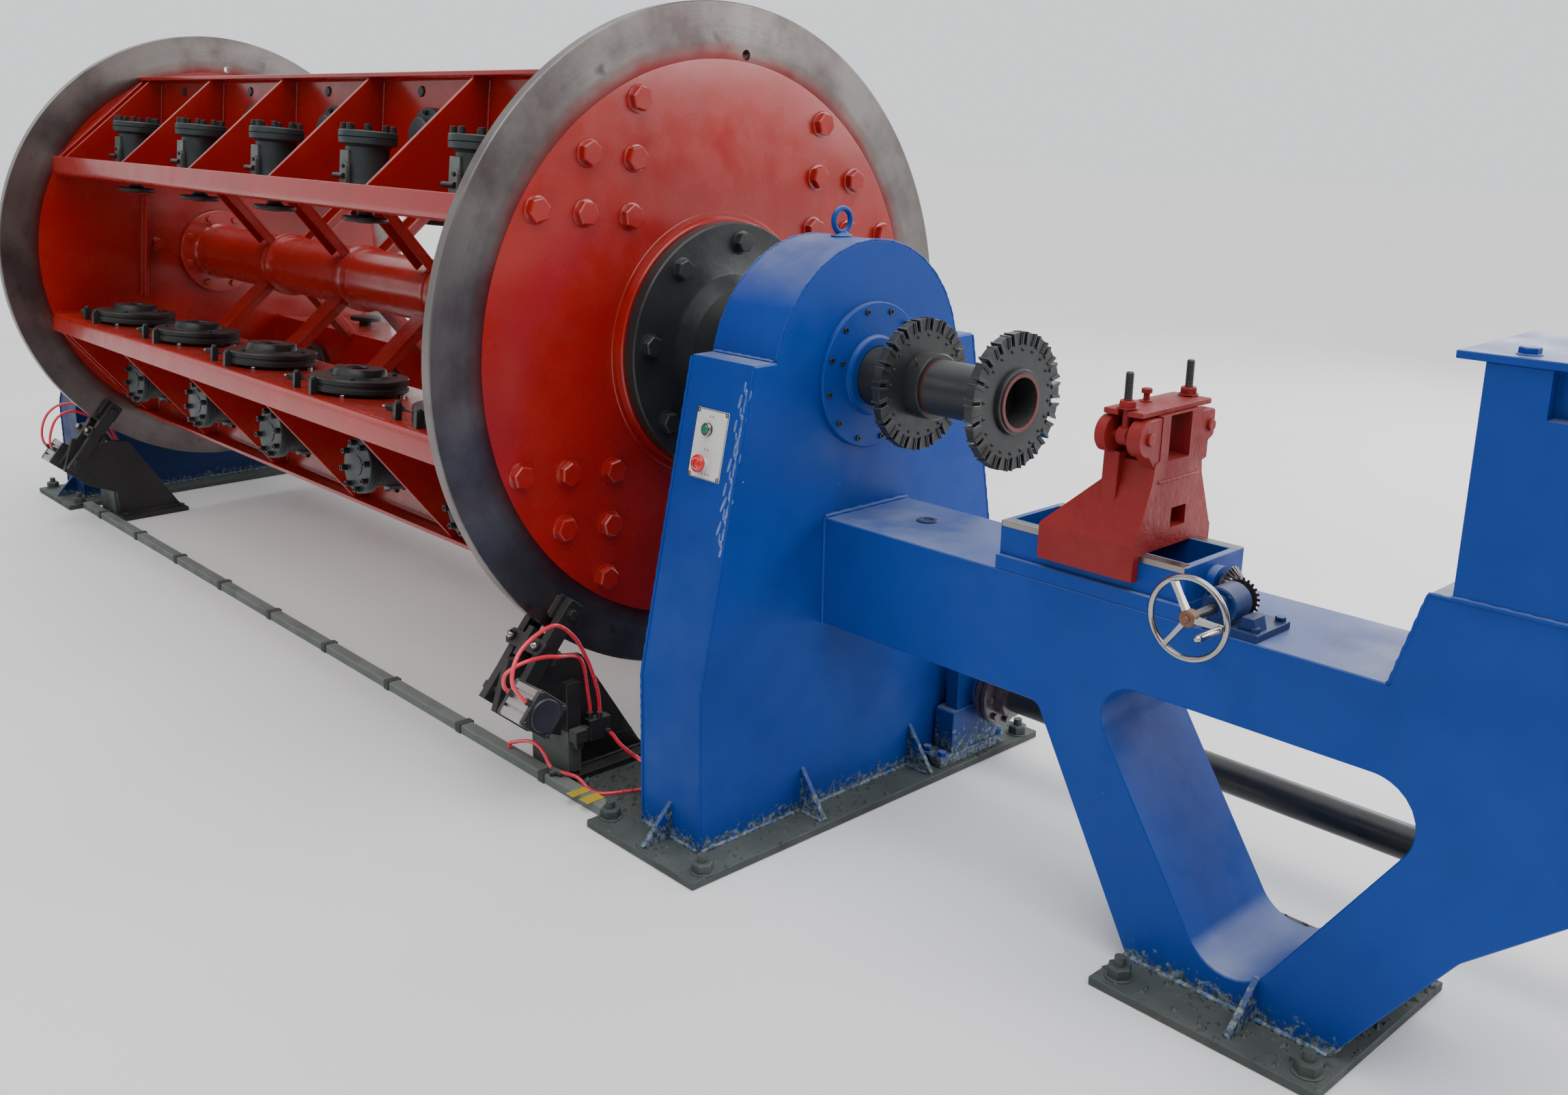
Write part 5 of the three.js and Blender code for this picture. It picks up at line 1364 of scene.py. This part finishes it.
def brake_bracket(prefix, mid, x, post_shift, painted_shade_from):
    """Leaning web on a foot, and the post beside it: grey from the floor up to the given height, and black
    like the web above it as painted shade.
    """
    web = fixed(f"{prefix}_brake_bracket_web", M["brake"], "brake_black", [f"{prefix}_brake_bracket"],
                bevel=1.5)
    foot = FLOOR + 16
    web.prism([(-467, -790), (-262, foot), (-530, foot), (-538, -1005), (-650, -960), (-745, -880),
               (-700, -745)],
              mid - 11, mid + 11, centred("X"))
    web.box(mid - 60, mid + 60, -545, -250, FLOOR, FLOOR + 18)
    web.box(x(9), x(12), -500, -300, -1060, -1050)
    for s in (12, -12):
        web.weld((mid + s, -530, FLOOR + 19), (mid + s, -262, FLOOR + 19), 6)
    post = (mid - 130 - post_shift, mid + 40 - post_shift)
    # Painted shade: the post above the given height is black like the web, standing in for the dark shade
    # behind the web.
    if painted_shade_from < POST_TOP:
        web.box(*post, -541, -495, painted_shade_from, POST_TOP)
    web.make()
    toe = fixed(f"{prefix}_brake_bracket_toe", M["toe"], "brake_black", bevel=3)
    toe.box(*post, -541, -495, FLOOR, painted_shade_from)
    toe.weld((post[0], -542, FLOOR + 1), (post[1], -542, FLOOR + 1), 6)
    toe.make()
    bolts = fixed(f"{prefix}_brake_bracket_bolts", M["brake"], "brake_black")
    for s in (-1, 1):
        for y in (-520, -275):
            bolts.hexhead((0, 0, 1), (mid + s * 42, y, FLOOR + 18), 24, 14, y)
    bolts.make()


def brake_arm(prefix, which, x, side, sgn):
    """Lever arm with its lining pad and shoe; sgn: +1 on the outer side of the disc."""
    body = f"{prefix}_{which}_arm"
    bar = Piece(f"{prefix}_brake_{which}_bar", body, M["brake"], "brake_black",
                [f"{prefix}_brake_arm_{which}"], bevel=1.2, local=RIM)
    near = sgn * PAD_FACE
    a, b = near + sgn * 22, near + sgn * 48
    bar.prism([(806, -20), (820, -24), (930, -24), (1040, -20), (1136, -20), (1136, 20), (1040, 20),
               (930, 24), (820, 24), (806, 20)], x(a), x(b), centred("X"))
    if which == "inner":
        bar.rod(*sorted((x(a), x(ARM + 40))), 9, centred("X", FOOT, 0), 20)
        bar.hexhead((-side, 0, 0), (x(b), FOOT, 0), 30, 15)
    bar.make()
    pad = Piece(f"{prefix}_brake_{which}_pad", body, M["lining"], "brake_black", bevel=1.0, local=RIM)
    pad.box(x(near), x(near + sgn * 14), 812, 868, -36, 36)
    pad.make()
    shoe = Piece(f"{prefix}_brake_{which}_shoe", body, M["brake"], "brake_black", bevel=1.0, local=RIM)
    shoe.box(x(near + sgn * 13), x(near + sgn * 23), 806, 874, -38, 38)
    shoe.hexhead((side * sgn, 0, 0), (x(b), 840, 0), 24, 13)
    shoe.make()


def brake_cylinder(prefix, x, side):
    """Square compact air cylinder on the outer arm: grooved body, end caps, face with screws, two ports."""
    c0, c1 = ARM + 13.3, ARM + 125
    rider = f"{prefix}_outer_arm"
    ax = centred("X")
    half_w = 50.0
    corner = [(half_w, -38), (half_w, -27), (half_w - 7, -27), (half_w - 7, -19), (half_w, -19), (half_w, 19),
              (half_w - 7, 19), (half_w - 7, 27), (half_w, 27), (half_w, 44), (44, half_w)]
    grooved = []
    for k in range(4):
        a = pi / 2 * k
        grooved += [(FOOT + (u * cos(a) - v * sin(a)), u * sin(a) + v * cos(a)) for u, v in corner]
    body = Piece(f"{prefix}_cylinder_body", rider, M["alloy"], "cylinder_alloy",
                 [f"{prefix}_brake_cylinder"], local=RIM)
    body.prism(grooved, x(c0 + 12), x(c1 - 14), ax)
    body.make()
    ends = Piece(f"{prefix}_cylinder_caps", rider, M["plastic"], "cylinder_alloy", bevel=1.2, local=RIM)
    square = rounded([(FOOT - 51, -51, 9), (FOOT + 51, -51, 9), (FOOT + 51, 51, 9), (FOOT - 51, 51, 9)], 4)
    ends.prism(square, x(c0), x(c0 + 12), ax, [arc(FOOT, 0, 14, 0, 350, 24)])
    ends.prism(square, x(c1 - 14), x(c1 - 1), ax)
    ends.make()
    face = Piece(f"{prefix}_cylinder_face", rider, M["plastic"], "cylinder_alloy", local=RIM)
    face.turn([(x(c1 - 2), 0), (x(c1 - 2), 44), (x(c1 + 4), 44), (x(c1 + 6), 42), (x(c1 + 5), 34),
               (x(c1 + 5), 0)],
              centred("X", FOOT, 0), 48)
    for u in (-42, 42):
        for v in (-42, 42):
            face.socket((side, 0, 0), (x(c1 - 1), FOOT + u, v), 6, 5)
    for port in (86, 165):
        face.bar((x(port), 1093, -49), (x(port), 1093, -62), 9, 16)
        face.hexhead((0, 0, -1), (x(port), 1093, -49), 17, 8, washer=False)
        face.bar((x(port), 1093, -61), (x(port), 1093, -66), 7.6, 16)
    face.make()


def valve_block(name, x):
    valve = fixed(name + "_body", M["plastic"], "brake_black", [name], bevel=1.2)
    valve.box(x(11.3), x(42), -465, -395, -1035, -975)
    valve.make()
    extra = fixed(name + "_fittings", M["plastic"], "brake_black")
    for vx, vy in ((36, -430), (22, -452)):
        extra.bar((x(vx), vy, -976), (x(vx), vy, -958), 9, 16)
    extra.bar((x(41), -409, -1018), (x(56), -409, -1018), 9, 16)
    extra.box(x(14), x(40), -500, -466, -1030, -992)
    extra.make()


def brake(prefix, mid, side, post_shift, painted_shade_from):
    """A rim brake on the disc whose middle plane is at mid; side: +1 where its cylinder is downstream."""
    def x(v):
        return mid + side * v
    brake_links(prefix, x)
    brake_bracket(prefix, mid, x, post_shift, painted_shade_from)
    brake_arm(prefix, "outer", x, side, 1)
    brake_arm(prefix, "inner", x, side, -1)
    brake_cylinder(prefix, x, side)
    valve_block(f"{prefix}_valve_block", x)


# The front post is black above -985 as painted shade; the rear post stays grey to its top.
brake("front", -DISC_T / 2, 1, 0, -985)
brake("rear", REAR_X - DISC_T / 2, -1, 60, POST_TOP)

# small things on the floor by the front brake
tags = fixed("hose_clip_tags", M["tag"], "duct_green", bevel=0.5)
tags.box(120, 150, -618, -560, FLOOR + 26, FLOOR + 28)
tags.box(168, 205, -612, -556, FLOOR + 26, FLOOR + 28)
tags.make()
tee_fit = fixed("hose_tee", M["plastic"], "brake_black")
tee_fit.bar((0, -581, -1087), (34, -567, -1095), 9, 16)
tee_fit.bar((17, -575, -1092), (8, -592, -1094), 8, 16)
tee_fit.make()
sensor = fixed("front_brake_sensor", M["plastic"], "brake_black", bevel=1)
sensor.box(24, 58, -538, -500, -1012, -976)
sensor.box(32, 50, -530, -508, -1030, -1010)
sensor.make()

# ---------------------------------------------------------------- swarf and paint flakes on the base plates
def litter(name, x0, x1, y0, y1, z, count, seed, keep_out, slot_name):
    """Small flat flakes lying about; seed fixes where they fall."""
    piece = fixed(name, M["base"], slot_name)
    state = seed
    laid = 0
    while laid < count:
        values = []
        for _ in range(6):
            state = (state * 1103515245 + 12345) % 2147483648
            values.append(state / 2147483648)
        x, y = x0 + (x1 - x0) * values[0], y0 + (y1 - y0) * values[1]
        if keep_out(x, y):
            continue
        laid += 1
        size = 3 + 9 * values[2] ** 2
        m = Matrix.Translation((x, y, z)) @ Matrix.Rotation(6.28 * values[3], 4, "Z")
        piece.put([(-size, -size * 0.6, -0.5), (size, -size * 0.4, -0.5), (size * 0.5, size * 0.8, -0.5),
                   (-size * 0.7, size * 0.5, -0.5), (0, 0, size * (0.35 + 0.6 * values[4]))],
                  [(3, 2, 1, 0), (0, 1, 4), (1, 2, 4), (2, 3, 4), (3, 0, 4)], m)
    piece.make()


litter("front_pedestal_litter", 262, 668, -650, 650, PLATE_TOP, 420, 11,
       lambda x, y: PED_X0 - 6 < x < PED_X1 + 6 and abs(y) < 556, "machine_blue")
litter("brake_litter", 50, 250, -520, -260, FLOOR + 4, 260, 29, lambda x, y: False, "machine_blue")
grout = fixed("grout_patch", M["base"], "duct_green", bevel=1)
grout.prism([(48, -552), (256, -552), (256, -200), (120, -215), (48, -245)], FLOOR, FLOOR + 4, centred("Z"))
grout.make()
litter("die_stand_litter", 1494, 1982, -266, 266, PLATE_TOP, 260, 5,
       lambda x, y: abs(y) < 156 and x < 1950, "machine_blue")

# ---------------------------------------------------------------- floor and light
bpy.ops.mesh.primitive_plane_add(size=60, location=(-1.5, 0, -0.001))
ground = bpy.context.object
ground.name = "studio_floor"
g = Graph("studio_floor")
g.link(g.mix(g.ramp(g.noise(0.8, 3), 0.3, 0.7), (0.80, 0.80, 0.80), (0.76, 0.76, 0.76)),
       g.shader.inputs["Base Color"])
g.shader.inputs["Roughness"].default_value = 0.7
ground.data.materials.append(g.material)


def area(name, at, target, size, energy):
    """A soft rectangular light that faces its target."""
    data = bpy.data.lights.new(name, "AREA")
    data.shape = "RECTANGLE"
    data.size, data.size_y = size
    data.energy = energy
    ob = bpy.data.objects.new(name, data)
    ob.location = at
    ob.rotation_euler = (Vector(target) - Vector(at)).to_track_quat("-Z", "Y").to_euler()
    bpy.context.scene.collection.objects.link(ob)


area("key", (-2.0, -6.5, 5.0), (-1.5, 0, 1.0), (8, 3), 110)
area("front", (7.5, 1.5, 4.5), (0, 0, 1.0), (3, 4), 90)
area("far_side", (1.5, 6.5, 3.2), (0.5, 0, 0.6), (7, 3), 260)
area("disc_sheen", (4.0, 3.8, 3.1), (-0.465, 0.2, 1.7), (1.8, 1.4), 55)
sun_data = bpy.data.lights.new("overhead", "SUN")
sun_data.energy = 3.0
sun_data.angle = radians(70)
sun = bpy.data.objects.new("overhead", sun_data)
sun.rotation_euler = Vector((-0.30, 0.16, -1)).to_track_quat("-Z", "Y").to_euler()
bpy.context.scene.collection.objects.link(sun)
world = bpy.data.worlds.new("world")
bpy.context.scene.world = world
world.use_nodes = True
tree = world.node_tree
backdrop = tree.nodes["Background"]
backdrop.inputs[0].default_value = (0.95, 0.97, 1.0, 1)
where = tree.nodes.new("ShaderNodeTexCoord")
toward = tree.nodes.new("ShaderNodeVectorMath")
toward.operation = "DOT_PRODUCT"
tree.links.new(where.outputs["Generated"], toward.inputs[0])
toward.inputs[1].default_value = (-0.75, 0.66, 0.0)
spread = tree.nodes.new("ShaderNodeMapRange")
spread.interpolation_type = "SMOOTHSTEP"
tree.links.new(toward.outputs["Value"], spread.inputs["Value"])
for socket, value in (("From Min", -0.1), ("From Max", 0.6), ("To Min", 0.26), ("To Max", 1.15)):
    spread.inputs[socket].default_value = value
tree.links.new(spread.outputs[0], backdrop.inputs[1])
